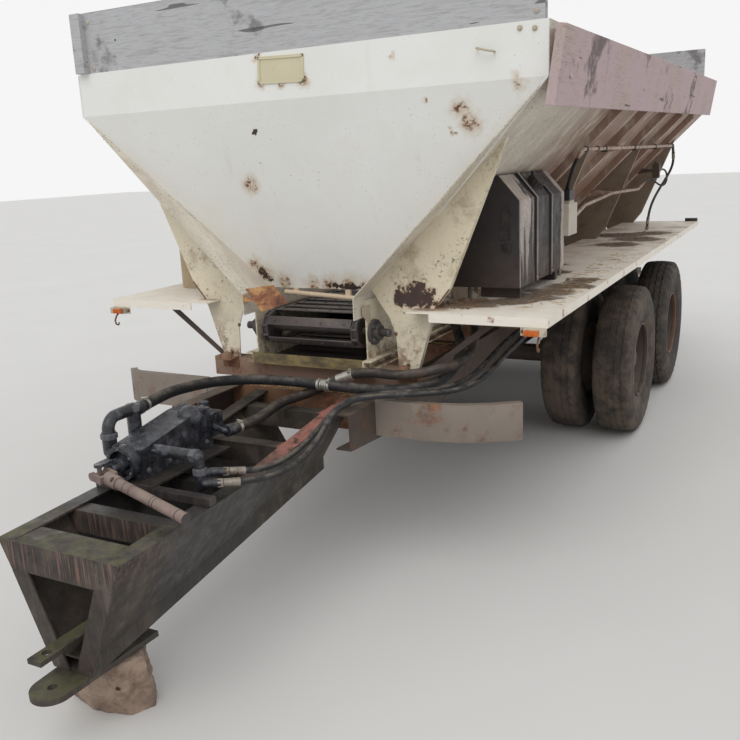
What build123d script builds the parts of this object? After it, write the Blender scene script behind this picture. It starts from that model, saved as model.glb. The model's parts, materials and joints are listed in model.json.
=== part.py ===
from build123d import *
import math
import os

# A towed V-box fertilizer spreader on a cut-down truck frame.
# Millimetres. X to the machine's left, Y to its rear, Z up from the ground.
# While it is drawn, Y is zero at the front face of the hopper.
# On export the origin moves to the ground under the middle of the whole machine.

# Running clearance between pieces that touch on the machine
SEAT = 0.3
# Clearance of moving pieces
RUN = 8.0

# Hopper shell
HOPPER_LENGTH = 4950.0
HOPPER_HALF = 1220.0
HOPPER_TOP = 2418.0
BAND_BOTTOM = 2212.0
VEE_BOTTOM = 1318.0
VEE_HALF = 313.0
SHEET = 5.0
FRONT_SET = 257.0
SKIRT_BOTTOM = 1215.0
DISCHARGE_HALF = 280.0
DISCHARGE_TOP = 1560.0

# Reach of the machine before and behind the hopper front
PIN_Y = -1650.0
EAR_R = 75.0
REAR_TAIL = 810.0
FRONT_REACH = EAR_R - PIN_Y
REAR_REACH = HOPPER_LENGTH + REAR_TAIL
ORIGIN_Y = (REAR_REACH - FRONT_REACH) / 2

# Boards on the hopper rim
FRONT_BOARD_HEIGHT = 286.0
FRONT_BOARD_T = 38.0
SIDE_BOARD_HEIGHT = 292.0
SIDE_BOARD_T = 38.0
SIDE_BOARD_BOTTOM = 2104.0
SIDE_BOARD_LEAN = 9.0
SIDE_BOARD_RISE = 85.0
BOARD_POST = 89.0
REAR_BOARD_HEIGHT = 322.0
FRONT_BOARD_HALF = HOPPER_HALF - 18.0
BOARD_LAP = 18.0
BOARD_OVERHANG = 55.0
POST_FACE = 62.0
CLEATS = 4
CLEAT_FRONT = 60.0
CLEAT_REAR_SET = 170.0
CLEAT_PITCH = (HOPPER_LENGTH - CLEAT_REAR_SET - CLEAT_FRONT) / (CLEATS - 1)
# Side, where the plank starts
SIDE_BOARDS = ((1.0, -BOARD_OVERHANG), (-1.0, 160.0))

# Conveyor trough
TROUGH_BOTTOM = 960.0
TROUGH_FRONT = 60.0
TROUGH_REAR = HOPPER_LENGTH + 290.0
TROUGH_T = 6.0
PAN_LIP = 55.0

# Conveyor chain
SPROCKET_R = 85.0
SHAFT_Z = 1130.0
FRONT_SHAFT_Y = 175.0
REAR_SHAFT_Y = TROUGH_REAR - 130.0
SHAFT_R = 19.0
SHAFT_REACH_OUT = 90.0
BEARING_R = 62.0
BEARING_T = 16.0
BOSS_R = 38.0
BOSS_LENGTH = 42.0
STRAND_X = 255.0
STRAND_W = 38.0
STRAND_T = 18.0
FLIGHT_WIDTH = 60.0
FLIGHT_T = 10.0
FLIGHT_PITCH = 165.0

# Truck frame
RAIL_X = 435.0
RAIL_FLANGE = 76.0
RAIL_TOP = 860.0
RAIL_HEIGHT = 210.0
RAIL_T = 8.0
RAIL_REAR = HOPPER_LENGTH + 110.0
RAIL_TAPER_Y = 300.0
RAIL_TAPER = 0.075
# Side, where its nose starts
RAILS = ((1.0, -300.0), (-1.0, -440.0))
CROSS_DEPTH = 70.0
CROSS_T = 7.0
BEARER_HALF = 620.0
BEARER_DEPTH = 90.0
BEARER_T = 6.0
STATIONS = (150.0, 1700.0, 3300.0, HOPPER_LENGTH - 150.0)
CROSS_YS = (15.3, 1150.0, 2100.0, 3180.0, 4300.0, RAIL_REAR - CROSS_DEPTH - 10.0)

# Bumper halves
BUMPER_TOP = 868.0
BUMPER_HEIGHT = 172.0
BUMPER_T = 6.0
BUMPER_LIP = 38.0
# Side, inner end, face, end of the straight run, tip across, tip along
BUMPERS = (
    (1.0, RAIL_X + SEAT, -62.0, 620.0, 1082.0, 105.0),
    (-1.0, 593.0, 10.0, 1050.0, 1165.0, 70.0),
)
BRACKET_X = 660.0
BRACKET_DEPTH = 60.0
BRACKET_RISE = 45.0

# Fenders
FENDER_INNER = 560.0
FENDER_OUTER = 1210.0
FENDER_TOP = 1260.0
FENDER_FRONT = 40.0
FENDER_REAR = HOPPER_LENGTH
FENDER_T = 5.0
FENDER_LIP = 42.0
# Cut-out of the left fender for the tank's hoses
CUT_OUTER = 735.0
CUT_FRONT = 455.0
CUT_REAR = 790.0
# Struts under the fenders
BRACE_HEAD = FENDER_OUTER - 190.0
BRACE_WIDTH = 50.0
BRACE_FOOT = 40.0
BRACE_SET = 6.0
BRACE_T = 8.0

# Legs under the hopper
LEG_T = 6.0
LEG_FLANGE = 32.0
LEG_TOP_Z = 1995.0
LEG_FOOT_IN = 462.0
LEG_FOOT_OUT = 562.0
LEG_KNEE_X = 655.0
LEG_SHOULDER_X = 728.0
LEG_SHOULDER_Z = 1350.0
# Inward from the foot, height
LEG_ARCH = ((8.0, 1120.0), (40.0, 1210.0), (80.0, 1265.0))

# Ribs on the hopper sides
RIB_WIDTH = 70.0
RIB_DEPTH = 42.0
RIB_YS = (1500.0, 2200.0, 2900.0, 3600.0, 4250.0)

# Wheels and tyres
TYRE_R = 510.0
TYRE_W = 264.0
RIM_R = 254.0
OUTER_TYRE_X = 1051.0
INNER_TYRE_X = 705.0
AXLE_FRONT_Y = 2540.0
AXLE_SPACING = 1352.0
AXLES = (("front", AXLE_FRONT_Y), ("rear", AXLE_FRONT_Y + AXLE_SPACING))
SIDES = (("left", 1.0), ("right", -1.0))
SPINDLE_R = 42.0
SPINDLE_END_X = 1030.0
HUB_R = 110.0
HUB_END_X = 1090.0
DISC_FLAT_R = 168.0
DISC_T = 11.0
DRUM_R = 200.0
DRUM_INNER_X = 560.0
AXLE_TUBE_R = 62.0

# Springs
LEAVES = 6
LEAF_T = 13.0
LEAF_STEP = 95.0
LEAF_OVERHANG = 40.0
SPRING_INNER = RAIL_X + 20.0
SPRING_OUTER = RAIL_X + 96.0
SPRING_LOW = TYRE_R + AXLE_TUBE_R + 24.0
PAD_HALF = 55.0
TRUNNION_TOP_HALF = 210.0
TRUNNION_HALF = 90.0
TRUNNION_DROP = 40.0
TRUNNION_T = 20.0

# Tongue
TONGUE_FRONT = -1550.0
TONGUE_REAR = 15.0
TONGUE_HALF = 283.0
TONGUE_TOP_FRONT = 714.0
TONGUE_TOP_REAR = 836.0
TONGUE_BEND_Y = -775.0
TONGUE_BEND_Z = 735.0
KEEL_HALF = 85.0
TONGUE_T = 8.0
TONGUE_FLANGE = 72.0
BEAM_DEPTH = 120.0
BEAM_WEB = 110.0

KEEL_FRONT_Z = 318.0
KEEL_REAR_Z = 520.0
KEEL_DEPTH = 60.0
CROSS_WIDTH = 70.0
POST_WIDTH = 78.0
TONGUE_CROSS_DEPTH = 90.0
TONGUE_CROSS_YS = (-1270.0, -900.0, -520.0, -160.0)

# Hitch
PIN_R = 17.0
LOWER_EAR_T = 22.0
UPPER_EAR_Z = 372.0
UPPER_EAR_T = 18.0
UPPER_EAR_HALF = 31.0

# Drive line and pump
PUMP_X = -140.0
PUMP_Z = 838.0
PUMP_DECK = 770.0
PUMP_FRONT = -1047.0
PUMP_REAR = -620.0
PUMP_HALF = 76.0
PUMP_TOP_FRONT = 890.0
PUMP_TOP_REAR = 943.0
PUMP_CREST_Y = -710.0
BELL_R = 68.0
BELL_FRONT = -1092.0
BELL_BORE_R = 54.0
BELL_BORE = 34.0
NOSE_R = 30.0
PORT_Z = 850.0
PORT_R = 29.0
PORT_REACH = 49.0
PORT_FRONT_Y = -1008.0
PORT_REAR_Y = -862.0
PORT_FRONT_TOP = 930.0
TEE_TOP = 1004.0
PRESSURE_Y = -972.0
PRESSURE_X = 150.0
PRESSURE_Z = 868.0
PRESSURE_R = 24.0
PRESSURE_LOW = 748.0
PRESSURE_PIPE_R = 17.0
BULKHEAD_R = 16.0
PRESSURE_STEM = 55.0
VALVE_REAR = -520.0
VALVE_LOW = 800.0
VALVE_TOP = 900.0
VALVE_OUT = 60.0
PUMP_NOSE_Y = -1110.0
JOINT_Y = -1195.0
CROSS_PIN_R = 9.0
DECK_T = 12.0
DECK_BAR = 40.0
YOKE_BARREL_R = 26.0
YOKE_EAR_IN = 28.0
YOKE_EAR_T = 11.0
YOKE_EAR_HALF = 19.0
YOKE_NECK = 46.0
SHAFT_EAR_HALF = 16.0
SHAFT_AIM = (0.45, -0.07, -0.075)
SHAFT_TUBE_R = 21.0
SHAFT_REACH = 470.0

# Oil tank
TANK_FRONT = 450.0
TANK_LENGTH = 770.0
TANK_OUTER = 960.0
TANK_INNER = 500.0
TANK_BOTTOM = 1315.0
TANK_SHOULDER = 1720.0
TANK_TOP = 1835.0
TANK_CREST = 22.0
TANK_BANDS = (235.0, 490.0)
TANK_BAND_WIDTH = 26.0
TANK_BAND_T = 9.0
# Start behind the tank's front
TANK_STRAPS = (60.0, 670.0)
TANK_STRAP_WIDTH = 40.0
CAP_Y = 370.0
CAP_R = 40.0
CAP_HEIGHT = 34.0

# Pail on the right fender
CANISTER_X = -1010.0
CANISTER_Y = 560.0
CANISTER_R = 108.0
CANISTER_HEIGHT = 225.0

# Spinners
SPINNER_R = 300.0
BLADES = 4
SPINNER_X = 340.0
SPINNER_Y = REAR_REACH - 330.0
SPINNER_Z = 690.0
SPINNER_T = 6.0
SPINNER_HUB_R = 55.0
SPINNER_HUB_LOW = 35.0
SPINNER_HUB_HIGH = 30.0
BLADE_HEIGHT = 60.0
BLADE_TURN = 20.0
SPINNER_SHAFT_R = 16.0
MOTOR_R = 55.0
MOTOR_LENGTH = 135.0
MOTOR_PLATE_TOP = 635.0
MOTOR_PLATE_T = 10.0
ARM_IN = 405.0
ARM_OUT = 465.0
ARM_DEPTH = 60.0
LIGHT_BAR_HALF = 620.0
LIGHT_BAR_DEPTH = 60.0

# Rear gate
GATE_HALF = 300.0
GATE_T = 6.0
GATE_HEIGHT = 345.0
GATE_BOTTOM = 1235.0
GATE_LIFT = 260.0
GATE_GAP = 6.0
STEM_R = 12.0
STEM_LENGTH = 310.0
STEM_GUIDE_LOW = 1850.0
STEM_GUIDE_HIGH = 1880.0

# Oil lines along the left side
LINE_R = 11.0
LINE_BEND = 40.0
UPPER_LINE_X = 1050.0
UPPER_LINE_Z = 1936.0
LOWER_LINE_Z = 1640.0
# Out from the valve box, along from its rear, drop below the pipe's height
LOWER_CORNERS = ((-20.0, 0.0, 70.0), (-60.0, 420.0, 30.0), (-105.0, 1400.0, 10.0))
LOWER_LINE_LEAD = 160.0
LOWER_LINE_BEND = 400.0
VALVE_BOX_DEPTH = 180.0
VALVE_BOX_INNER = 840.0
VALVE_BOX_OUTER = 985.0
VALVE_BOX_LOW = 1485.0
VALVE_BOX_TOP = 1655.0
VALVE_RISE = 70.0

# Flexible hoses, their centre lines by hand, each with its diameter
SUCTION_D = 50.0
SUCTION_ROUTE = (
    (-270, -812, 977), (-292, -676, 980), (-324, -550, 972), (-337, -430, 958), (-330, -320, 948),
    (-291, -217, 938), (-219, -134, 929), (-123, -81, 922), (-5, -62, 918), (112, -60, 915),
    (228, -62, 915), (380, -50, 907), (505, -12, 903), (594, 50, 905), (660, 128, 915),
    (698, 214, 940), (706, 305, 988), (686, 385, 1045), (644, 448, 1105), (592, 498, 1165),
)
RETURN_D = 46.0
RETURN_ROUTE = (
    (34, -600, 850), (50, -524, 850), (52, -440, 849), (38, -356, 849), (20, -272, 850),
    (12, -188, 851), (24, -108, 851), (58, -44, 858), (110, 0, 878), (176, 24, 912),
    (250, 33, 944), (330, 34, 965), (412, 32, 968), (494, 38, 962), (572, 66, 966),
    (640, 94, 978), (705, 134, 990), (755, 192, 1004), (777, 266, 1031), (771, 344, 1067),
    (747, 418, 1102), (718, 486, 1136), (692, 546, 1168),
)
PRESSURE_D = 26.0
UPPER_ROUTE = (
    (216, -898, 790), (290, -830, 778), (322, -730, 768), (320, -600, 765), (310, -470, 775),
    (318, -350, 815), (340, -255, 870), (385, -180, 903), (450, -115, 908), (540, -55, 907),
    (640, 16, 905), (730, 105, 905), (790, 215, 925), (818, 345, 965), (832, 500, 1005),
    (843, 680, 1035), (850, 870, 1048), (856, 1030, 1062), (860, 1145, 1085), (862, 1222, 1124),
    (862, 1272, 1178), (862, 1292, 1236),
)
LOWER_ROUTE = (
    (241, -969, 772), (312, -905, 766), (354, -810, 752), (368, -690, 748), (364, -560, 755),
    (364, -440, 800), (376, -355, 872), (405, -272, 912), (455, -192, 915), (520, -125, 911),
    (605, -62, 907), (705, 0, 906), (795, 80, 906), (852, 195, 925), (876, 330, 965),
    (890, 500, 1003), (899, 700, 1030), (905, 880, 1046), (910, 1040, 1062), (914, 1150, 1086),
    (916, 1226, 1126), (916, 1274, 1178), (916, 1293, 1236),
)
DROP_D = 20.0
DROP_ROUTE = (
    (1050, 4372, 1890), (1050, 4420, 1830), (1035, 4435, 1755), (1003, 4405, 1680), (965, 4330, 1600),
    (935, 4230, 1520), (918, 4140, 1440), (912, 4085, 1362), (910, 4066, 1292),
)
LOOP_D = 16.0
LOOP_ROUTE = (
    (880, 3960, 1640), (882, 4040, 1656), (887, 4125, 1672), (896, 4215, 1671), (908, 4305, 1655),
    (922, 4395, 1630), (938, 4480, 1606), (955, 4558, 1603), (967, 4614, 1628), (970, 4632, 1680),
    (961, 4604, 1724), (948, 4548, 1741), (936, 4480, 1741), (930, 4410, 1737),
)

# Guard pieces at the front of the conveyor
GUARD_TUBE_R = 12.0
GUARD_TUBE_Y = 246.0
# Across, height of the tube's two ends
GUARD_TUBE_ENDS = ((300.0, 1272.0), (-215.0, 1298.0))
GUARD_TAB_XS = (150.0, -150.0)
GUARD_TAB_HALF = 14.0
# Across, height of the tilted plate's corners
GUARD_PLATE = ((-287.0, 1347.0), (-121.0, 1372.0), (-43.0, 1287.0), (-203.0, 1237.0))
GUARD_PLATE_Y = 2.0
GUARD_PLATE_T = 3.0
GUARD_ARM_END = -230.0
GUARD_ARM = (1285.0, 1305.0)
GUARD_FOOT = (1275.0, 1315.0)
GUARD_FOOT_LENGTH = 43.0
GUARD_FOOT_T = 4.0

# Lamps
LAMP_PLATE_DROP = 78.0
LAMP_PLATE_WIDTH = 118.0
LAMP_LENGTH = 92.0
LAMP_HEIGHT = 46.0
LAMP_DEPTH = 30.0
TAIL_LAMP_R = 50.0
LAMP_FOOT = 8.0
TAIL_LAMP_XS = (430.0, 560.0)

# Support under the hitch
BLOCK_FOOT = (
    (-225, -1395), (-60, -1440), (80, -1400), (130, -1310), (60, -1225), (-160, -1215), (-270, -1300),
)
BLOCK_CROWN = (
    (-200, -1440), (-60, -1500), (85, -1450), (120, -1340), (60, -1260), (-150, -1255), (-235, -1340),
)


def block(x0, x1, y0, y1, z0, z1):
    """A box between two corners."""
    middle = Pos((x0 + x1) / 2, (y0 + y1) / 2, (z0 + z1) / 2)
    return middle * Box(abs(x1 - x0), abs(y1 - y0), abs(z1 - z0))


def slab(points, thickness, direction):
    """A flat polygon of 3-D points, thickened along a direction."""
    face = Face(Wire.make_polygon([Vector(*p) for p in points]))
    return Solid.extrude(face, Vector(*direction).normalized() * thickness)


def slab_xz(points, y, thickness):
    return slab([(x, y, z) for x, z in points], thickness, (0, 1, 0))


def slab_yz(points, x, thickness):
    return slab([(x, y, z) for y, z in points], thickness, (1, 0, 0))


def rod(start, end, radius):
    """A round bar between two points."""
    a = Vector(*start)
    b = Vector(*end)
    axis = b - a
    return Solid.make_cylinder(radius, axis.length, Plane(origin=a, z_dir=axis))


def drum_x(x0, x1, y, z, radius):
    return rod((x0, y, z), (x1, y, z), radius)


def bent_tube(points, radius, bends):
    """A round tube along straight runs that are joined by arcs."""
    path = FilletPolyline(*[Vector(*point) for point in points], radius=bends)
    return sweep(Plane(origin=path @ 0, z_dir=path % 0) * Circle(radius), path=path)


def hose_radii(points):
    """The largest arc that each corner of a hose's route has room for."""
    radii = []
    for before, corner, after in zip(points, points[1:], points[2:]):
        run_in = Vector(*corner) - Vector(*before)
        run_out = Vector(*after) - Vector(*corner)
        turn = math.radians(run_in.get_angle(run_out))
        shorter = min(run_in.length, run_out.length)
        radii.append(0.45 * shorter / math.tan(turn / 2))
    return radii


def hose(name, points, diameter):
    """A flexible hose, its arcs as large as its runs allow."""
    radii = hose_radii(points)
    tube = bent_tube(points, diameter / 2, radii)
    length = tube.volume / (math.pi * diameter * diameter / 4)
    smallest = min(radii) / diameter
    print(name, "length", round(length), "mm, arcs", [round(radius) for radius in radii])
    print(name, "tightest arc in diameters", round(smallest, 1))
    return tube


def ferrule(end, inward, radius, length):
    """Round fitting that carries on from a hose's end, away from the hose."""
    stop = Vector(*end)
    away = (stop - Vector(*inward)).normalized()
    return rod(end, tuple(stop + away * length), radius)


def both_sides(shape):
    """The piece and its mirror image over the middle plane."""
    return [shape, mirror(shape, Plane.YZ)]


def on_side(shape, side):
    """A piece drawn on the left, mirrored where it belongs on the right."""
    return shape if side > 0 else mirror(shape, Plane.YZ)


def save(name, *shapes):
    """One sub-part to its file, moved to the machine's own origin."""
    solids = []
    for shape in shapes:
        if isinstance(shape, (list, tuple)):
            for item in shape:
                solids.extend(item.solids())
        else:
            solids.extend(shape.solids())
    moved = [Pos(0, -ORIGIN_Y, 0) * solid for solid in solids]
    whole = moved[0] if len(moved) == 1 else Compound(children=moved)
    export_step(whole, os.path.join("parts", name + ".step"))


def hopper_side_x(z):
    """Outer face of the sloping side sheet at a height."""
    share = (z - VEE_BOTTOM) / (BAND_BOTTOM - VEE_BOTTOM)
    return VEE_HALF + share * (HOPPER_HALF - VEE_HALF)


SIDE_SLOPE = math.atan2(BAND_BOTTOM - VEE_BOTTOM, HOPPER_HALF - VEE_HALF)
SLOPE_IN_X = SHEET / math.sin(SIDE_SLOPE)


def hopper_side():
    """Left side of the hopper: rim lip, band, slope and skirt in one bent sheet."""
    mid_skirt = VEE_HALF - SHEET
    inner_bend = BAND_BOTTOM + SHEET * math.tan((math.pi / 2 - SIDE_SLOPE) / 2)
    inner_vee = VEE_BOTTOM + SHEET * math.tan((math.pi / 2 - SIDE_SLOPE) / 2)
    outline = [
        (HOPPER_HALF, HOPPER_TOP),
        (HOPPER_HALF, BAND_BOTTOM),
        (VEE_HALF, VEE_BOTTOM),
        (VEE_HALF, SKIRT_BOTTOM),
        (mid_skirt, SKIRT_BOTTOM),
        (mid_skirt, inner_vee),
        (HOPPER_HALF - SHEET, inner_bend),
        (HOPPER_HALF - SHEET, HOPPER_TOP),
    ]
    return slab_xz(outline, SHEET, HOPPER_LENGTH - 2 * SHEET)


def hopper_front():
    """Front band and the sheet that slopes in below it."""
    band = block(-HOPPER_HALF, HOPPER_HALF, 0, SHEET, BAND_BOTTOM, HOPPER_TOP)
    gap = SEAT + SLOPE_IN_X
    top_half = HOPPER_HALF - gap
    bottom_half = VEE_HALF - gap
    corners = [
        (-top_half, 0, BAND_BOTTOM),
        (top_half, 0, BAND_BOTTOM),
        (bottom_half, FRONT_SET, VEE_BOTTOM),
        (-bottom_half, FRONT_SET, VEE_BOTTOM),
    ]
    return band + slab(corners, SHEET, (0, 1, 0))


def hopper_rear():
    """Upright rear wall with the discharge opening over the conveyor."""
    outline = [
        (-HOPPER_HALF, HOPPER_TOP),
        (HOPPER_HALF, HOPPER_TOP),
        (HOPPER_HALF, BAND_BOTTOM),
        (VEE_HALF, VEE_BOTTOM),
        (VEE_HALF, SKIRT_BOTTOM),
        (-VEE_HALF, SKIRT_BOTTOM),
        (-VEE_HALF, VEE_BOTTOM),
        (-HOPPER_HALF, BAND_BOTTOM),
    ]
    wall = slab_xz(outline, HOPPER_LENGTH - SHEET, SHEET)
    y = HOPPER_LENGTH
    opening = block(-DISCHARGE_HALF, DISCHARGE_HALF, y - 20, y + 20, SKIRT_BOTTOM - 20, DISCHARGE_TOP)
    return wall - opening


def side_board(start):
    """The plank hung outside the left band on wedge cleats, leaning out and rising to the rear."""
    rise = math.degrees(math.atan2(SIDE_BOARD_RISE, HOPPER_LENGTH))
    plank = block(0, SIDE_BOARD_T, start, HOPPER_LENGTH + BOARD_OVERHANG, 0, SIDE_BOARD_HEIGHT)
    plank = Rot(rise, 0, 0) * (Rot(0, SIDE_BOARD_LEAN, 0) * plank)
    plank = Pos(HOPPER_HALF + SEAT, 0, SIDE_BOARD_BOTTOM) * plank
    lean = math.tan(math.radians(SIDE_BOARD_LEAN))
    for index in range(CLEATS):
        y = max(CLEAT_FRONT + index * CLEAT_PITCH, start + CLEAT_FRONT)
        foot = SIDE_BOARD_BOTTOM + SIDE_BOARD_RISE * y / HOPPER_LENGTH
        low = BAND_BOTTOM + 5
        high = HOPPER_TOP - 30
        wedge = [
            (HOPPER_HALF + SEAT, low),
            (HOPPER_HALF + SEAT, high),
            (HOPPER_HALF + 3 + (high - foot) * lean, high),
            (HOPPER_HALF + 3 + (low - foot) * lean, low),
        ]
        plank = plank + slab_xz(wedge, y, BOARD_POST)
    return plank


def front_board():
    """Plank inside the front band and standing above it, with a post at its right end."""
    y = SHEET + SEAT
    low = HOPPER_TOP - BOARD_LAP
    high = HOPPER_TOP + FRONT_BOARD_HEIGHT
    plank = block(-FRONT_BOARD_HALF, FRONT_BOARD_HALF, y, y + FRONT_BOARD_T, low, high)
    post = block(
        -FRONT_BOARD_HALF, -FRONT_BOARD_HALF + POST_FACE,
        y - FRONT_BOARD_T, y + 1,
        HOPPER_TOP + SEAT, high - 4,
    )
    return plank + post


def rear_board():
    """Plank inside the rear wall and standing above it."""
    y = HOPPER_LENGTH - SHEET - SEAT
    low = HOPPER_TOP - BOARD_LAP
    high = HOPPER_TOP + REAR_BOARD_HEIGHT
    return block(-FRONT_BOARD_HALF, FRONT_BOARD_HALF, y - FRONT_BOARD_T, y, low, high)


def rail_low(y):
    """Height of the rail's bottom face, which rises to its nose."""
    low = RAIL_TOP - RAIL_HEIGHT
    return low + RAIL_TAPER * max(0.0, RAIL_TAPER_Y - y)


def frame_rail(nose):
    """Left rail: a channel open to the middle, its nose tapered."""
    low = RAIL_TOP - RAIL_HEIGHT
    outline = [
        (nose, RAIL_TOP),
        (RAIL_REAR, RAIL_TOP),
        (RAIL_REAR, low),
        (RAIL_TAPER_Y, low),
        (nose, rail_low(nose)),
    ]
    solid = slab_yz(outline, RAIL_X - RAIL_FLANGE, RAIL_FLANGE)
    hollow = [
        (nose - 1, RAIL_TOP - RAIL_T),
        (RAIL_REAR + 1, RAIL_TOP - RAIL_T),
        (RAIL_REAR + 1, low + RAIL_T),
        (RAIL_TAPER_Y, low + RAIL_T),
        (nose - 1, rail_low(nose) + RAIL_T),
    ]
    return solid - slab_yz(hollow, RAIL_X - RAIL_FLANGE - 1, RAIL_FLANGE - RAIL_T + 1)


def cross_member(y):
    """A channel between the two frame rails."""
    half = RAIL_X - RAIL_T - SEAT
    low = rail_low(y) + RAIL_T + 2 * SEAT
    high = RAIL_TOP - RAIL_T - SEAT
    body = block(-half, half, y, y + CROSS_DEPTH, low, high)
    hollow = block(-half - 1, half + 1, y + CROSS_T, y + CROSS_DEPTH + 1, low + CROSS_T, high - CROSS_T)
    return body - hollow


def cross_bearer(y):
    """A channel laid over the rails, which carries the conveyor and the legs."""
    low = RAIL_TOP + SEAT
    high = TROUGH_BOTTOM - SEAT
    body = block(-BEARER_HALF, BEARER_HALF, y - 15, y - 15 + BEARER_DEPTH, low, high)
    hollow = block(
        -BEARER_HALF - 1, BEARER_HALF + 1,
        y - 15 + BEARER_T, y + BEARER_DEPTH,
        low + BEARER_T, high - BEARER_T,
    )
    return body - hollow


def bumper_face(depth, start_x, face_y, straight_x, tip_x, tip_y):
    """Plan of a bumper half from its outer face to a depth behind it."""
    run = tip_x - straight_x
    rise = tip_y - face_y
    turn = 2 * math.atan2(rise, run)
    radius = run / math.sin(turn)
    centre = (straight_x, face_y + radius)
    inner = radius - depth
    tip = (centre[0] + radius * math.sin(turn), centre[1] - radius * math.cos(turn))
    tip_in = (centre[0] + inner * math.sin(turn), centre[1] - inner * math.cos(turn))
    middle = (centre[0] + radius * math.sin(turn / 2), centre[1] - radius * math.cos(turn / 2))
    middle_in = (centre[0] + inner * math.sin(turn / 2), centre[1] - inner * math.cos(turn / 2))
    edges = [
        Line((start_x, face_y), (straight_x, face_y)),
        ThreePointArc((straight_x, face_y), middle, tip),
        Line(tip, tip_in),
        ThreePointArc(tip_in, middle_in, (straight_x, face_y + depth)),
        Line((straight_x, face_y + depth), (start_x, face_y + depth)),
        Line((start_x, face_y + depth), (start_x, face_y)),
    ]
    return Face(Wire(edges))


def bumper_half(plan):
    """One half of a cut bumper, drawn on the left: a plate with two lips turned in."""
    low = BUMPER_TOP - BUMPER_HEIGHT
    start_x, face_y = plan[:2]
    skin = Solid.extrude(bumper_face(BUMPER_T, *plan), Vector(0, 0, BUMPER_HEIGHT))
    lip = Solid.extrude(bumper_face(BUMPER_LIP, *plan), Vector(0, 0, BUMPER_T))
    upper = Pos(0, 0, BUMPER_HEIGHT - BUMPER_T) * lip
    half = Pos(0, 0, low) * (skin + lip + upper)
    if start_x > RAIL_X + RAIL_FLANGE:
        half = half + block(
            RAIL_X + SEAT, BRACKET_X,
            face_y + BUMPER_T - 1, face_y + BRACKET_DEPTH,
            low + BRACKET_RISE, BUMPER_TOP - BRACKET_RISE,
        )
    return half


def fender(side):
    """Fender plate with its edges turned down, cut out under the tank's hoses on the left."""
    top = block(FENDER_INNER, FENDER_OUTER, FENDER_FRONT, FENDER_REAR, FENDER_TOP - FENDER_T, FENDER_TOP)
    low = FENDER_TOP - FENDER_LIP
    front = block(FENDER_INNER + 110, FENDER_OUTER, FENDER_FRONT, FENDER_FRONT + FENDER_T, low, FENDER_TOP)
    outer = block(FENDER_OUTER - FENDER_T, FENDER_OUTER, FENDER_FRONT, FENDER_REAR, low, FENDER_TOP)
    rear = block(FENDER_INNER, FENDER_OUTER, FENDER_REAR - FENDER_T, FENDER_REAR, low, FENDER_TOP)
    plate = top + front + outer + rear
    for y in STATIONS:
        reach = LEG_KNEE_X + SEAT + 3
        notch = block(FENDER_INNER - 1, reach, y - SEAT, y + LEG_FLANGE + SEAT, low - 1, FENDER_TOP + 1)
        plate = plate - notch
    if side > 0:
        return plate - block(FENDER_INNER - 1, CUT_OUTER, CUT_FRONT, CUT_REAR, low - 1, FENDER_TOP + 1)
    return mirror(plate, Plane.YZ)


def tyre(x):
    """One tyre as a revolved section: bead, bulged wall, shoulder and crown."""
    half = TYRE_W / 2
    tread = half - 22
    crown = half - 60
    shoulder_r = TYRE_R - 14
    bead = half - 42
    bead_r = RIM_R + SEAT
    wall_r = (TYRE_R + RIM_R) / 2 - 10
    lines = [
        Line((bead, bead_r), (bead + 16, bead_r + 14)),
        ThreePointArc((bead + 16, bead_r + 14), (half, wall_r), (half - 6, shoulder_r - 26)),
        Line((half - 6, shoulder_r - 26), (tread, shoulder_r)),
        Line((tread, shoulder_r), (crown, TYRE_R)),
        Line((crown, TYRE_R), (-crown, TYRE_R)),
        Line((-crown, TYRE_R), (-tread, shoulder_r)),
        Line((-tread, shoulder_r), (-half + 6, shoulder_r - 26)),
        ThreePointArc((-half + 6, shoulder_r - 26), (-half, wall_r), (-bead - 16, bead_r + 14)),
        Line((-bead - 16, bead_r + 14), (-bead, bead_r)),
        Line((-bead, bead_r), (bead, bead_r)),
    ]
    face = Face(Wire(lines))
    ring = Solid.revolve(face, 360, Axis.X)
    return Pos(x, 0, 0) * ring


def disc_wheel(centre_x, mount_x):
    """A dished disc wheel: barrel, cone and mounting face, revolved on the axle line."""
    side = 1.0 if mount_x > centre_x else -1.0
    reach = TYRE_W / 2 - 30
    wall = 8.0
    inner_edge = centre_x + side * reach
    outer_edge = centre_x - side * reach
    back = mount_x - side * DISC_T
    section = [
        (mount_x, HUB_R - 2),
        (mount_x, DISC_FLAT_R),
        (inner_edge, RIM_R - wall - 4),
        (inner_edge, RIM_R),
        (outer_edge, RIM_R),
        (outer_edge, RIM_R - wall),
        (inner_edge - side * 12, RIM_R - wall),
        (back, DISC_FLAT_R - 2),
        (back, HUB_R - 2),
    ]
    face = Face(Wire.make_polygon([Vector(x, r, 0) for x, r in section]))
    return Solid.revolve(face, 360, Axis.X)


def place_wheel(shape, y, side):
    moved = Pos(0, y, TYRE_R) * shape
    return moved if side > 0 else mirror(moved, Plane.YZ)


def dual_tyres(y, side):
    return [place_wheel(tyre(x), y, side) for x in (INNER_TYRE_X, OUTER_TYRE_X)]


def dual_wheel(y, side):
    """Two disc wheels back to back on one hub, with its brake drum."""
    middle = (OUTER_TYRE_X + INNER_TYRE_X) / 2
    outer = disc_wheel(OUTER_TYRE_X, middle)
    inner = disc_wheel(INNER_TYRE_X, middle)
    hub = drum_x(INNER_TYRE_X, HUB_END_X, 0, 0, HUB_R)
    drum = drum_x(DRUM_INNER_X, INNER_TYRE_X + 60, 0, 0, DRUM_R)
    whole = outer + inner + hub + drum
    bore = drum_x(DRUM_INNER_X - 50, SPINDLE_END_X + 5, 0, 0, SPINDLE_R + SEAT)
    return place_wheel(whole - bore, y, side)


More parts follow.
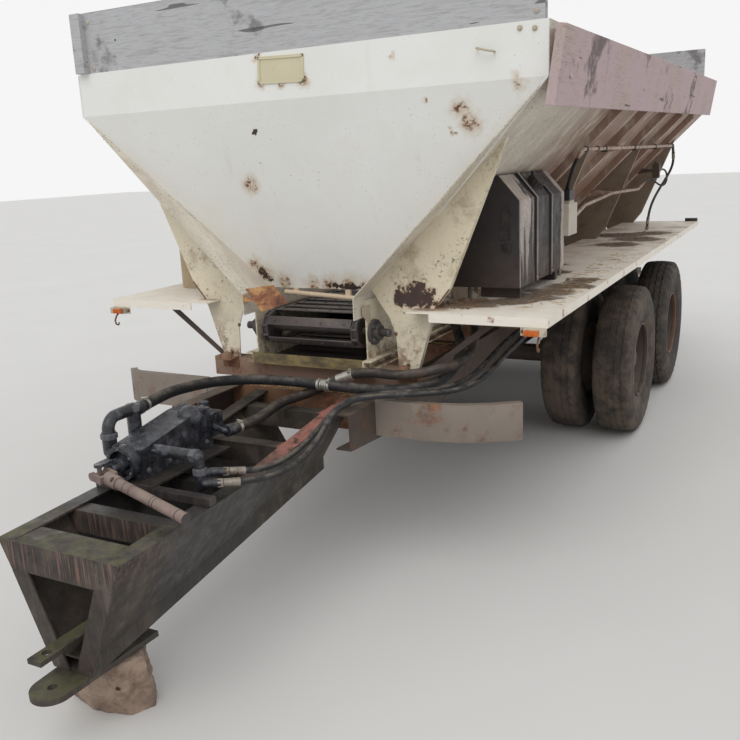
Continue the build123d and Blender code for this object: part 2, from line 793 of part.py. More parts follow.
def axle(y):
    """A round dead axle with a spindle at each end."""
    beam_half = DRUM_INNER_X - RUN
    beam = drum_x(-beam_half, beam_half, y, TYRE_R, AXLE_TUBE_R)
    spindle = drum_x(-SPINDLE_END_X, SPINDLE_END_X, y, TYRE_R, SPINDLE_R)
    return beam + spindle


def leaf_spring():
    """Left spring pack over the two axles, leaves stepped and arched down."""
    centre = AXLE_FRONT_Y + AXLE_SPACING / 2
    leaves = []
    for index in range(LEAVES):
        half = AXLE_SPACING / 2 + LEAF_OVERHANG - index * LEAF_STEP
        z = SPRING_LOW + index * LEAF_T
        leaves.append(block(SPRING_INNER, SPRING_OUTER, centre - half, centre + half, z, z + LEAF_T))
    pack = leaves[0]
    for leaf in leaves[1:]:
        pack = pack + leaf
    return pack


def trunnion():
    """Left frame bracket that the middle of the spring pack hangs from."""
    centre = AXLE_FRONT_Y + AXLE_SPACING / 2
    top_leaf = SPRING_LOW + LEAVES * LEAF_T
    low = top_leaf + SEAT
    plate = [
        (centre - TRUNNION_TOP_HALF, RAIL_TOP - TRUNNION_DROP),
        (centre + TRUNNION_TOP_HALF, RAIL_TOP - TRUNNION_DROP),
        (centre + TRUNNION_HALF, low),
        (centre - TRUNNION_HALF, low),
    ]
    hanger = slab_yz(plate, RAIL_X + SEAT, TRUNNION_T)
    front = centre - TRUNNION_HALF
    seat = block(RAIL_X + SEAT, SPRING_OUTER + 4, front, centre + TRUNNION_HALF, low, low + TRUNNION_T)
    return hanger + seat


def axle_seat(y):
    """Pad between the left end of the spring pack and the axle."""
    low = TYRE_R + AXLE_TUBE_R * 0.5
    pad = block(SPRING_INNER, SPRING_OUTER, y - PAD_HALF, y + PAD_HALF, low, SPRING_LOW - SEAT)
    return pad - drum_x(SPRING_INNER - 1, SPRING_OUTER + 1, y, TYRE_R, AXLE_TUBE_R + SEAT)


def tongue_top(y):
    """Height of the tongue's top edge at a place along it."""
    if y <= TONGUE_BEND_Y:
        share = (y - TONGUE_FRONT) / (TONGUE_BEND_Y - TONGUE_FRONT)
        return TONGUE_TOP_FRONT + share * (TONGUE_BEND_Z - TONGUE_TOP_FRONT)
    share = (y - TONGUE_BEND_Y) / (TONGUE_REAR - TONGUE_BEND_Y)
    return TONGUE_BEND_Z + share * (TONGUE_TOP_REAR - TONGUE_BEND_Z)


def keel_top(y):
    """Height of the keel's top face at a place along it."""
    share = (y - TONGUE_FRONT) / (TONGUE_REAR - TONGUE_FRONT)
    return KEEL_FRONT_Z + share * (KEEL_REAR_Z - KEEL_FRONT_Z)


def tongue_section(y):
    """Left side of the tongue at one place: leaning plate and top flange."""
    top = tongue_top(y)
    low = keel_top(y)
    points = [
        (TONGUE_HALF, top),
        (KEEL_HALF + TONGUE_T, low + SEAT),
        (KEEL_HALF, low + SEAT),
        (TONGUE_HALF - TONGUE_T - 4, top - TONGUE_T),
        (TONGUE_HALF - TONGUE_FLANGE, top - TONGUE_T),
        (TONGUE_HALF - TONGUE_FLANGE, top),
    ]
    return Wire.make_polygon([Vector(x, y, z) for x, z in points])


def tongue_side():
    """Left side plate of the tongue, in two runs that meet at the bend of its top edge."""
    front = Solid.make_loft([tongue_section(TONGUE_FRONT), tongue_section(TONGUE_BEND_Y)], True)
    rear = Solid.make_loft([tongue_section(TONGUE_BEND_Y), tongue_section(TONGUE_REAR)], True)
    return front + rear


def tongue_keel():
    """Box tube along the bottom of the tongue."""
    half = KEEL_HALF + TONGUE_T
    front = keel_top(TONGUE_FRONT)
    rear = keel_top(TONGUE_REAR)
    wall = TONGUE_T
    outer = [
        (TONGUE_FRONT, front),
        (TONGUE_REAR, rear),
        (TONGUE_REAR, rear - KEEL_DEPTH),
        (TONGUE_FRONT, front - KEEL_DEPTH),
    ]
    inner = [
        (TONGUE_FRONT - 1, front - wall),
        (TONGUE_REAR + 1, rear - wall),
        (TONGUE_REAR + 1, rear - KEEL_DEPTH + wall),
        (TONGUE_FRONT - 1, front - KEEL_DEPTH + wall),
    ]
    return slab_yz(outer, -half, 2 * half) - slab_yz(inner, -KEEL_HALF, 2 * KEEL_HALF)


def lean_x(y, depth):
    """Half width inside the leaning side plates at a depth below the top edge."""
    fall = tongue_top(y) - keel_top(y)
    share = depth / fall
    outer = TONGUE_HALF + share * (KEEL_HALF + TONGUE_T - TONGUE_HALF)
    return outer - TONGUE_T - 6


def tongue_beam():
    """Front cross beam: an upright web with a top flange turned to the rear."""
    top = TONGUE_TOP_FRONT
    y = TONGUE_FRONT - SEAT
    low = TONGUE_HALF - 50
    web = slab_xz(
        [(-TONGUE_HALF, top), (TONGUE_HALF, top), (low, top - BEAM_WEB), (-low, top - BEAM_WEB)],
        y - TONGUE_T,
        TONGUE_T,
    )
    inner = TONGUE_HALF - TONGUE_FLANGE - SEAT
    flange = block(-inner, inner, y, y + BEAM_DEPTH, top - TONGUE_T, top)
    return web + flange


def tongue_cross(y):
    """A channel between the side plates, under their top flanges."""
    depth = TONGUE_CROSS_DEPTH
    top = TONGUE_T + SEAT
    z_top = min(tongue_top(y), tongue_top(y + CROSS_WIDTH)) - top
    high = lean_x(y, top) - SEAT
    low = lean_x(y, top + depth) - SEAT
    outline = [(-high, z_top), (high, z_top), (low, z_top - depth), (-low, z_top - depth)]
    body = slab_xz(outline, y, CROSS_WIDTH)
    hollow = block(-TONGUE_HALF, TONGUE_HALF, y + 6, y + CROSS_WIDTH + 1, z_top - depth - 1, z_top - 6)
    return body - hollow


def nose_post():
    """Left post of the nose, from the beam's corner down to the keel."""
    y = TONGUE_FRONT - SEAT
    top = TONGUE_TOP_FRONT - BEAM_WEB
    low = KEEL_FRONT_Z - KEEL_DEPTH
    outer_top = TONGUE_HALF - 50
    outline = [
        (outer_top, top - SEAT),
        (KEEL_HALF + TONGUE_T, low),
        (KEEL_HALF + TONGUE_T - POST_WIDTH, low),
        (outer_top - POST_WIDTH, top - SEAT),
    ]
    return slab_xz(outline, y - TONGUE_T, TONGUE_T)


def lower_ear():
    """Wide rounded plate under the keel, with the pin hole."""
    half = KEEL_HALF + TONGUE_T
    z = KEEL_FRONT_Z - KEEL_DEPTH - SEAT - LOWER_EAR_T
    back = PIN_Y + 420
    front_half = EAR_R
    outline = [
        Line((-half, back), (half, back)),
        Line((half, back), (front_half, PIN_Y)),
        ThreePointArc((front_half, PIN_Y), (0, PIN_Y - EAR_R), (-front_half, PIN_Y)),
        Line((-front_half, PIN_Y), (-half, back)),
    ]
    plate = Pos(0, 0, z) * Solid.extrude(Face(Wire(outline)), Vector(0, 0, LOWER_EAR_T))
    return plate - rod((0, PIN_Y, z - 1), (0, PIN_Y, z + LOWER_EAR_T + 1), PIN_R)


def upper_ear():
    """Narrow strap above the pin, welded on the keel's front end."""
    z = UPPER_EAR_Z
    strap = block(-UPPER_EAR_HALF, UPPER_EAR_HALF, PIN_Y - 55, PIN_Y + 300, z, z + UPPER_EAR_T)
    riser = block(
        -UPPER_EAR_HALF, UPPER_EAR_HALF,
        TONGUE_FRONT + 60, TONGUE_FRONT + 200,
        keel_top(TONGUE_FRONT + 200) + SEAT, z,
    )
    return strap + riser - rod((0, PIN_Y, z - 1), (0, PIN_Y, z + UPPER_EAR_T + 1), PIN_R)


def support_block():
    """The weathered chunk of wood that the hitch stands on."""
    top = KEEL_FRONT_Z - KEEL_DEPTH - LOWER_EAR_T - 2 * SEAT
    foot = Wire.make_polygon([Vector(x, y, 0) for x, y in BLOCK_FOOT])
    crown = Wire.make_polygon([Vector(x, y, top) for x, y in BLOCK_CROWN])
    return Solid.make_loft([foot, crown], True)


def front_leg(y):
    """Left leg plate under the hopper with its flanged outer edge."""
    slope_low = VEE_BOTTOM + 20
    plate = [
        (hopper_side_x(LEG_TOP_Z) + SEAT, LEG_TOP_Z),
        (LEG_SHOULDER_X, LEG_SHOULDER_Z),
        (LEG_KNEE_X, FENDER_TOP),
        (LEG_FOOT_OUT, TROUGH_BOTTOM),
        (LEG_FOOT_IN, TROUGH_BOTTOM),
        *[(LEG_FOOT_IN - inward, z) for inward, z in LEG_ARCH],
        (hopper_side_x(slope_low) + SEAT, slope_low),
    ]
    body = slab_xz(plate, y, LEG_T)
    outer = plate[:4]
    tuck = LEG_TOP_Z - 14
    inner = [(x - LEG_T, z) for x, z in reversed(outer[1:])]
    inner.append((hopper_side_x(tuck) + SEAT, tuck))
    flange = slab_xz(outer + inner, y, LEG_FLANGE)
    return body + flange


def side_rib(y):
    """Left stiffening rib along the outside of the sloping sheet."""
    low = VEE_BOTTOM + 30
    high = BAND_BOTTOM - 15
    nx = math.sin(SIDE_SLOPE)
    nz = -math.cos(SIDE_SLOPE)
    gap = SEAT
    deep = SEAT + RIB_DEPTH
    outline = [
        (hopper_side_x(low) + nx * gap, low + nz * gap),
        (hopper_side_x(high) + nx * gap, high + nz * gap),
        (hopper_side_x(high - 20) + nx * deep, high - 20 + nz * deep),
        (hopper_side_x(low + 20) + nx * deep, low + 20 + nz * deep),
    ]
    return slab_xz(outline, y, RIB_WIDTH)


def fender_brace(y):
    """Left flat strut from the bearer's end up to the fender."""
    outline = [
        (BEARER_HALF - BRACE_FOOT, TROUGH_BOTTOM),
        (BEARER_HALF, TROUGH_BOTTOM),
        (BRACE_HEAD, FENDER_TOP - FENDER_T - SEAT),
        (BRACE_HEAD - BRACE_WIDTH, FENDER_TOP - FENDER_T - SEAT),
    ]
    return slab_xz(outline, y + LEG_FLANGE + BRACE_SET, BRACE_T)


def trough_side():
    """Left side plate of the conveyor trough with the channel along its foot."""
    x = VEE_HALF + SEAT
    plate = block(x, x + TROUGH_T, TROUGH_FRONT + 50, TROUGH_REAR, TROUGH_BOTTOM, VEE_BOTTOM - 25)
    rail = block(x, x + 46, TROUGH_FRONT, TROUGH_REAR, TROUGH_BOTTOM, TROUGH_BOTTOM + 50)
    low = TROUGH_BOTTOM + TROUGH_T
    hollow = block(x + TROUGH_T, x + 50, TROUGH_FRONT - 1, TROUGH_REAR + 1, low, TROUGH_BOTTOM + 44)
    bore_front = drum_x(0, 400, FRONT_SHAFT_Y, SHAFT_Z, SHAFT_R + 1)
    bore_rear = drum_x(0, 400, REAR_SHAFT_Y, SHAFT_Z, SHAFT_R + 1)
    return plate + rail - hollow - bore_front - bore_rear


def trough_pan():
    """Return pan under the chain, its front edge turned up."""
    half = VEE_HALF
    floor = block(-half, half, TROUGH_FRONT, TROUGH_REAR, TROUGH_BOTTOM, TROUGH_BOTTOM + 5)
    lip = block(-half, half, TROUGH_FRONT, TROUGH_FRONT + 5, TROUGH_BOTTOM, TROUGH_BOTTOM + PAN_LIP)
    return floor + lip


def trough_deck():
    """Deck plate that the upper run of the chain slides on."""
    half = VEE_HALF
    top = SHAFT_Z + SPROCKET_R - STRAND_T / 2 - SEAT
    return block(-half, half, FRONT_SHAFT_Y + 110, REAR_SHAFT_Y - 110, top - 5, top)


def loop_outline(radius):
    """Closed side outline of the chain at a distance from the shaft centres."""
    top = SHAFT_Z + radius
    low = SHAFT_Z - radius
    edges = [
        Line((0, FRONT_SHAFT_Y, top), (0, REAR_SHAFT_Y, top)),
        ThreePointArc((0, REAR_SHAFT_Y, top), (0, REAR_SHAFT_Y + radius, SHAFT_Z), (0, REAR_SHAFT_Y, low)),
        Line((0, REAR_SHAFT_Y, low), (0, FRONT_SHAFT_Y, low)),
        ThreePointArc(
            (0, FRONT_SHAFT_Y, low),
            (0, FRONT_SHAFT_Y - radius, SHAFT_Z),
            (0, FRONT_SHAFT_Y, top),
        ),
    ]
    return Face(Wire(edges))


def chain_strand(x):
    outer = Solid.extrude(loop_outline(SPROCKET_R + STRAND_T / 2), Vector(STRAND_W, 0, 0))
    inner = Solid.extrude(loop_outline(SPROCKET_R - STRAND_T / 2), Vector(STRAND_W + 2, 0, 0))
    return Pos(x - STRAND_W / 2, 0, 0) * (outer - Pos(-1, 0, 0) * inner)


def flight_places():
    """Centre and pitch angle of each flight bar around the loop."""
    run = REAR_SHAFT_Y - FRONT_SHAFT_Y
    turn = math.pi * SPROCKET_R
    total = 2 * run + 2 * turn
    count = round(total / FLIGHT_PITCH)
    places = []
    for index in range(count):
        s = index * total / count
        if s < run:
            places.append((FRONT_SHAFT_Y + s, SHAFT_Z + SPROCKET_R, 0.0))
        elif s < run + turn:
            angle = (s - run) / SPROCKET_R
            y = REAR_SHAFT_Y + SPROCKET_R * math.sin(angle)
            places.append((y, SHAFT_Z + SPROCKET_R * math.cos(angle), -math.degrees(angle)))
        elif s < 2 * run + turn:
            places.append((REAR_SHAFT_Y - (s - run - turn), SHAFT_Z - SPROCKET_R, 180.0))
        else:
            angle = (s - 2 * run - turn) / SPROCKET_R
            y = FRONT_SHAFT_Y - SPROCKET_R * math.sin(angle)
            places.append((y, SHAFT_Z - SPROCKET_R * math.cos(angle), 180.0 - math.degrees(angle)))
    return places


def conveyor_chain():
    """Two chain strands joined by flight bars, in one closed loop."""
    reach = STRAND_X - STRAND_W / 2 + 1
    bars = []
    for y, z, pitch in flight_places():
        bar = Box(2 * reach, FLIGHT_WIDTH, FLIGHT_T)
        bars.append(Pos(0, y, z) * (Rot(pitch, 0, 0) * bar))
    strands = chain_strand(STRAND_X) + chain_strand(-STRAND_X)
    return strands.fuse(*[bar.solid() for bar in bars])


def conveyor_shaft(y):
    """A shaft across the trough with its two sprockets."""
    reach = VEE_HALF + SHAFT_REACH_OUT
    shaft = drum_x(-reach, reach, y, SHAFT_Z, SHAFT_R)
    wheel_r = SPROCKET_R - STRAND_T / 2 - SEAT
    left = drum_x(STRAND_X - 12, STRAND_X + 12, y, SHAFT_Z, wheel_r)
    right = drum_x(-STRAND_X - 12, -STRAND_X + 12, y, SHAFT_Z, wheel_r)
    return shaft + left + right


def flange_bearing(y):
    """Left flange bearing on the trough side, round the shaft."""
    x = VEE_HALF + TROUGH_T + 2 * SEAT
    base = drum_x(x, x + BEARING_T, y, SHAFT_Z, BEARING_R)
    boss = drum_x(x, x + BOSS_LENGTH, y, SHAFT_Z, BOSS_R)
    return base + boss - drum_x(x - 1, x + 2 * BOSS_LENGTH, y, SHAFT_Z, SHAFT_R + SEAT)


def oil_tank():
    """Tank with a slanted shoulder, lying against the hopper's side."""
    reach = SEAT / math.sin(SIDE_SLOPE) + 0.2
    top = TANK_TOP
    outline = [
        (TANK_INNER, TANK_BOTTOM),
        (TANK_OUTER, TANK_BOTTOM),
        (TANK_OUTER, TANK_SHOULDER),
        (hopper_side_x(top) + reach + TANK_CREST, top),
        (hopper_side_x(top) + reach, top),
        (TANK_INNER, vee_height(TANK_INNER - reach)),
    ]
    return slab_xz(outline, TANK_FRONT, TANK_LENGTH)


def vee_height(x):
    """Height of the sloping side sheet at a distance from the middle."""
    share = (x - VEE_HALF) / (HOPPER_HALF - VEE_HALF)
    return VEE_BOTTOM + share * (BAND_BOTTOM - VEE_BOTTOM)


def tank_ribs():
    """Raised bands round the tank's outer face and shoulder."""
    top = TANK_TOP
    x_top = hopper_side_x(top) + TANK_CREST + 2
    outer = TANK_OUTER + TANK_BAND_T
    bands = []
    for along in TANK_BANDS:
        outline = [
            (TANK_OUTER + SEAT, TANK_BOTTOM),
            (outer, TANK_BOTTOM),
            (outer, TANK_SHOULDER + 4),
            (x_top + TANK_BAND_T, top + 5),
            (x_top + 1.2, top),
            (TANK_OUTER + SEAT, TANK_SHOULDER + 0.4),
        ]
        bands.append(slab_xz(outline, TANK_FRONT + along, TANK_BAND_WIDTH))
    return bands


def tank_hangers():
    """Two straps that carry the tank from below, bent down to the fender."""
    straps = []
    low = FENDER_TOP + SEAT
    high = TANK_BOTTOM - SEAT
    for along in TANK_STRAPS:
        y = TANK_FRONT + along
        straps.append(block(CUT_OUTER + 10, TANK_OUTER - 20, y, y + TANK_STRAP_WIDTH, low, high))
    return straps


def filler_cap():
    """Cap on the slanted shoulder of the tank."""
    crest_x = hopper_side_x(TANK_TOP) + TANK_CREST
    x = (TANK_OUTER + crest_x) / 2
    z = (TANK_SHOULDER + TANK_TOP) / 2
    run = TANK_OUTER - crest_x
    rise = TANK_TOP - TANK_SHOULDER
    length = math.hypot(run, rise)
    nx = rise / length
    nz = run / length
    y = TANK_FRONT + CAP_Y
    start = (x + nx * 2 * SEAT, y, z + nz * 2 * SEAT)
    end = (x + nx * CAP_HEIGHT, y, z + nz * CAP_HEIGHT)
    return rod(start, end, CAP_R)


def canister():
    """Round pail on the right fender."""
    foot = (CANISTER_X, CANISTER_Y, FENDER_TOP + SEAT)
    return rod(foot, (CANISTER_X, CANISTER_Y, FENDER_TOP + CANISTER_HEIGHT), CANISTER_R)


def pump_body():
    """Bell housing open to the front and the long cast pump behind it, its top rising to the rear."""
    bell = rod((PUMP_X, BELL_FRONT, PUMP_Z), (PUMP_X, PUMP_FRONT + 1, PUMP_Z), BELL_R)
    bore = rod((PUMP_X, BELL_FRONT - 1, PUMP_Z), (PUMP_X, BELL_FRONT + BELL_BORE, PUMP_Z), BELL_BORE_R)
    nose = rod((PUMP_X, PUMP_NOSE_Y, PUMP_Z), (PUMP_X, PUMP_FRONT, PUMP_Z), NOSE_R)
    outline = [
        (PUMP_FRONT, PUMP_DECK),
        (PUMP_FRONT, PUMP_TOP_FRONT),
        (PUMP_CREST_Y, PUMP_TOP_REAR),
        (PUMP_REAR, PUMP_TOP_REAR),
        (PUMP_REAR, PUMP_DECK),
    ]
    body = slab_yz(outline, PUMP_X - PUMP_HALF, 2 * PUMP_HALF)
    dome = Pos(PUMP_X + PUMP_HALF / 2, PUMP_CREST_Y, PUMP_TOP_REAR - PORT_R) * Sphere(2 * PORT_R)
    return bell - bore + nose + body + dome + fixed_yoke()


def pump_deck():
    """Plate that the pump stands on, carried across the tongue's flanges."""
    low = PUMP_DECK - DECK_T - SEAT
    plate = block(-TONGUE_HALF, PUMP_X + 2 * PUMP_HALF, BELL_FRONT, PUMP_REAR + 20, low, PUMP_DECK - SEAT)
    bar_rear = BELL_FRONT + DECK_BAR
    bar = block(-TONGUE_HALF, TONGUE_HALF, BELL_FRONT, bar_rear, tongue_top(bar_rear) + SEAT, low)
    return plate + bar


def suction_ports():
    """Two elbows on the right of the pump, a formed pipe from one to the tee on the other."""
    side_x = PUMP_X - PUMP_HALF - SEAT
    x = side_x - PORT_REACH
    pieces = []
    for y, top in ((PORT_FRONT_Y, PORT_FRONT_TOP), (PORT_REAR_Y, TEE_TOP)):
        out = rod((side_x, y, PORT_Z), (x, y, PORT_Z), PORT_R)
        knee = Pos(x, y, PORT_Z) * Sphere(PORT_R)
        up = rod((x, y, PORT_Z), (x, y, top), PORT_R)
        pieces.append(out + knee + up)
    crest = SUCTION_ROUTE[0][2] + 8
    run = [(x, PORT_FRONT_Y, PORT_FRONT_TOP - 1), (x, PORT_FRONT_Y, crest), (x, PORT_REAR_Y, crest)]
    formed = bent_tube(run, SUCTION_D / 2, SUCTION_D)
    outlet = ferrule(SUCTION_ROUTE[0], SUCTION_ROUTE[1], PORT_R, abs(SUCTION_ROUTE[0][1] - PORT_REAR_Y))
    return pieces[0] + formed + pieces[1] + outlet


def pressure_ports():
    """Pressure pipe to the left, its column down and the two outlets for the pressure hoses."""
    start = (PUMP_X + PUMP_HALF + SEAT, PRESSURE_Y, PRESSURE_Z)
    head = (PRESSURE_X, PRESSURE_Y, PRESSURE_Z)
    foot = (PRESSURE_X, PRESSURE_Y, PRESSURE_LOW)
    pipe = rod(start, head, PRESSURE_R) + Pos(*head) * Sphere(PRESSURE_R)
    column = rod(head, foot, PRESSURE_R - 2) + Pos(*foot) * Sphere(PRESSURE_R - 2)
    whole = pipe + column
    for route in (UPPER_ROUTE, LOWER_ROUTE):
        stem = ferrule(route[0], route[1], PRESSURE_PIPE_R, PRESSURE_STEM)
        outlet = Vector(*route[0])
        knee = outlet + (outlet - Vector(*route[1])).normalized() * PRESSURE_STEM
        inlet = rod(tuple(knee), (PRESSURE_X, PRESSURE_Y, knee.Z), PRESSURE_PIPE_R)
        whole = whole + stem + Pos(*knee) * Sphere(PRESSURE_PIPE_R) + inlet
    return whole


def valve_block():
    """Relief valve on the rear end of the pump, with the bent pipe to the return hose."""
    low_x = PUMP_X - VALVE_OUT
    high_x = PUMP_X + VALVE_OUT
    front = PUMP_REAR + SEAT
    body = block(low_x, high_x, front, VALVE_REAR, VALVE_LOW, VALVE_TOP)
    middle_y = (front + VALVE_REAR) / 2
    outlet_y = front + PRESSURE_D
    knob = rod((PUMP_X, middle_y, VALVE_TOP - 1), (PUMP_X, middle_y, VALVE_TOP + 45), NOSE_R - 6)
    start = Vector(*RETURN_ROUTE[0])
    away = (start - Vector(*RETURN_ROUTE[1])).normalized()
    corner = start + away * RETURN_D
    run = [(high_x - 1, outlet_y, start.Z), tuple(corner), tuple(start)]
    pipe = bent_tube(run, PRESSURE_D / 2, PRESSURE_D * 0.8)
    collar = ferrule(RETURN_ROUTE[0], RETURN_ROUTE[1], RETURN_D / 2 + 3, RETURN_D * 0.8)
    return body + knob + pipe + collar


def fixed_yoke():
    """Fork of the universal joint that is keyed to the pump's shaft, its two ears one above the other."""
    neck_y = JOINT_Y + YOKE_NECK
    barrel = rod((PUMP_X, PUMP_NOSE_Y + 1, PUMP_Z), (PUMP_X, neck_y, PUMP_Z), YOKE_BARREL_R)
    high = YOKE_EAR_IN + YOKE_EAR_T
    plate = block(
        PUMP_X - YOKE_EAR_HALF, PUMP_X + YOKE_EAR_HALF,
        JOINT_Y, neck_y + YOKE_EAR_T,
        PUMP_Z - high, PUMP_Z + high,
    )
    tip = rod((PUMP_X, JOINT_Y, PUMP_Z - high), (PUMP_X, JOINT_Y, PUMP_Z + high), YOKE_EAR_HALF)
    gap = block(
        PUMP_X - YOKE_NECK, PUMP_X + YOKE_NECK,
        JOINT_Y - YOKE_NECK, neck_y,
        PUMP_Z - YOKE_EAR_IN, PUMP_Z + YOKE_EAR_IN,
    )
    eye = rod((PUMP_X, JOINT_Y, PUMP_Z - 2 * high), (PUMP_X, JOINT_Y, PUMP_Z + 2 * high), CROSS_PIN_R + SEAT)
    return plate + tip + barrel - gap - eye


def drive_shaft():
    """Tube with its fork and cross, lying over the left rail of the tongue."""
    size = math.sqrt(sum(part * part for part in SHAFT_AIM))
    ux, uy, uz = (part / size for part in SHAFT_AIM)
    centre = Vector(PUMP_X, JOINT_Y, PUMP_Z)
    aim = Vector(ux, uy, uz)
    across = Vector(-uy, ux, 0).normalized()
    neck = centre + aim * YOKE_NECK
    tube = rod(tuple(neck), tuple(centre + aim * SHAFT_REACH), SHAFT_TUBE_R)
    socket = rod(tuple(neck), tuple(centre + aim * (2.4 * YOKE_NECK)), YOKE_BARREL_R)
    high = YOKE_EAR_IN + YOKE_EAR_T
    fork = tube + socket
    for side in (1, -1):
        inner = centre + across * (side * (YOKE_EAR_IN - 3))
        outer = centre + across * (side * high)
        ear = rod(tuple(inner), tuple(outer), SHAFT_EAR_HALF)
        arm = block(0, YOKE_NECK + 4, YOKE_EAR_IN - 3, high, -SHAFT_EAR_HALF + 2, SHAFT_EAR_HALF - 2)
        if side < 0:
            arm = mirror(arm, Plane.XZ)
        fork = fork + ear + Plane(origin=centre, x_dir=aim, z_dir=aim.cross(across)) * arm
    web = block(YOKE_NECK - 8, YOKE_NECK + 8, -high, high, -SHAFT_EAR_HALF + 2, SHAFT_EAR_HALF - 2)
    fork = fork + Plane(origin=centre, x_dir=aim, z_dir=aim.cross(across)) * web
    pin = rod((PUMP_X, JOINT_Y, PUMP_Z - high), (PUMP_X, JOINT_Y, PUMP_Z + high), CROSS_PIN_R)
    bar = rod(tuple(centre - across * high), tuple(centre + across * high), CROSS_PIN_R)
    return fork + pin + bar


def tank_port(route, radius):
    """Elbow from the end of a tank hose up into the tank's floor."""
    end = Vector(*route[-1])
    ahead = (end - Vector(*route[-2])).normalized()
    corner = end + ahead * (2 * radius)
    run = [tuple(end), tuple(corner), (corner.X, corner.Y, TANK_BOTTOM - SEAT)]
    return bent_tube(run, radius, radius * 1.1)


def bulkhead_place(route):
    """Middle of the fitting that a pressure hose ends in."""
    end = Vector(*route[-1])
    ahead = (end - Vector(*route[-2])).normalized()
    return end + ahead * BULKHEAD_R


def bulkhead(route):
    """Fitting from a pressure hose's end up to the fender's lower face."""
    middle = bulkhead_place(route)
    high = FENDER_TOP - FENDER_T - SEAT
    stub = rod(route[-1], tuple(middle), BULKHEAD_R)
    neck = rod(tuple(middle), (middle.X, middle.Y, high), BULKHEAD_R)
    reach = 4 * BULKHEAD_R
    plate = Pos(middle.X, middle.Y, high + reach / 2) * Box(2 * reach, 2 * reach, reach)
    return stub + Pos(*middle) * Sphere(BULKHEAD_R) + neck - plate


def riser(route):
    """Pipe from the fender's top, over a bulkhead, up to the valve box."""
    middle = bulkhead_place(route)
    return rod((middle.X, middle.Y, FENDER_TOP + SEAT), (middle.X, middle.Y, VALVE_BOX_LOW - SEAT), LINE_R)


def valve_box():
    """White box behind the tank with the control valve on its top."""
    front = TANK_FRONT + TANK_LENGTH + SEAT
    rear = front + VALVE_BOX_DEPTH
    box = block(VALVE_BOX_INNER, VALVE_BOX_OUTER, front, rear, VALVE_BOX_LOW, VALVE_BOX_TOP)
    high = VALVE_BOX_TOP + VALVE_RISE
    valve = block(VALVE_BOX_OUTER - 60, VALVE_BOX_OUTER - 4, front + 30, rear - 50, VALVE_BOX_TOP - 1, high)
    return box + valve


def upper_line():
    """Pipe from the valve up and along the hopper's ribs to its rear fitting."""
    front = TANK_FRONT + TANK_LENGTH + SEAT
    end = Vector(*DROP_ROUTE[0])
    back = end - Vector(*DROP_ROUTE[1])
    crest = end + back * ((UPPER_LINE_Z - end.Z) / back.Z)
    run = [
        (VALVE_BOX_OUTER - 32, front + 80, VALVE_BOX_TOP + VALVE_RISE - 1),
        (VALVE_BOX_OUTER + 13, front + 42, UPPER_LINE_Z - 86),
        (UPPER_LINE_X, front + 5, UPPER_LINE_Z),
        tuple(crest),
        tuple(end),
    ]
    return bent_tube(run, LINE_R, LINE_BEND / 2)


def lower_route():
    """Corners of the pipe from the valve box along the ribs to the rear loop."""
    start_y = TANK_FRONT + TANK_LENGTH + SEAT + VALVE_BOX_DEPTH - 1
    end = Vector(*LOOP_ROUTE[0])
    back = (end - Vector(*LOOP_ROUTE[1])).normalized()
    corners = []
    for out, along, drop in LOWER_CORNERS:
        corners.append((VALVE_BOX_OUTER + out, start_y + along, LOWER_LINE_Z - drop))
    return corners + [tuple(end + back * LOWER_LINE_LEAD), tuple(end)]


def lower_line_at(y):
    """Distance out and height of the lower pipe's long straight run at a place along it."""
    front, rear = lower_route()[-3:-1]
    share = (y - front[1]) / (rear[1] - front[1])
    return front[0] + share * (rear[0] - front[0]), front[2] + share * (rear[2] - front[2])


def rib_face_x(z):
    """Outer face of a side rib at a height."""
    drop = RIB_DEPTH + SEAT
    return hopper_side_x(z + drop * math.cos(SIDE_SLOPE)) + drop * math.sin(SIDE_SLOPE)


def line_clip(y, x, z):
    """Bracket from a rib's face out to a pipe, seated on the rib."""
    gap = SEAT / math.sin(SIDE_SLOPE)
    half = 2 * LINE_R
    low = z - half
    high = z + half
    outline = [
        (rib_face_x(low) + gap, low),
        (rib_face_x(high) + gap, high),
        (x, z + LINE_R / 2),
        (x, z - LINE_R / 2),
    ]
    return slab_xz(outline, y + RIB_WIDTH / 4, RIB_WIDTH / 2)


def rear_valve():
    """Valve at the rear end of the lines, on a bracket from the last rib."""
    y = RIB_YS[-1] + RIB_WIDTH / 2
    x, end_y, middle_z = LOOP_ROUTE[-1]
    body = block(x - 28, x + 30, y - 24, y + 22, middle_z - 60, middle_z + 60)
    stub = ferrule(LOOP_ROUTE[-1], LOOP_ROUTE[-2], LOOP_D / 2 + 3, end_y - y - 10)
    return body + stub + line_clip(RIB_YS[-1], x, middle_z)


def steel_lines():
    """Both pipes with their clips, the valve box and the rear valve, as one welded and bolted run."""
    lower_line = bent_tube(lower_route(), LINE_R, LOWER_LINE_BEND)
    whole = valve_box() + upper_line() + lower_line + rear_valve()
    for y in RIB_YS[1:]:
        whole = whole + line_clip(y, UPPER_LINE_X, UPPER_LINE_Z)
    for y in RIB_YS[2:4]:
        x, z = lower_line_at(y + RIB_WIDTH / 2)
        whole = whole + line_clip(y, x, z)
    return whole


def drop_foot():
    """Elbow on the fender that the rear hose ends in."""
    end = Vector(*DROP_ROUTE[-1])
    radius = DROP_D / 2 + 3
    foot = end + (end - Vector(*DROP_ROUTE[-2])).normalized() * (radius + 3)
    neck = rod(tuple(end), tuple(foot), radius) + Pos(*foot) * Sphere(radius)
    return neck + rod(tuple(foot), (foot.X, foot.Y, FENDER_TOP + SEAT), radius)


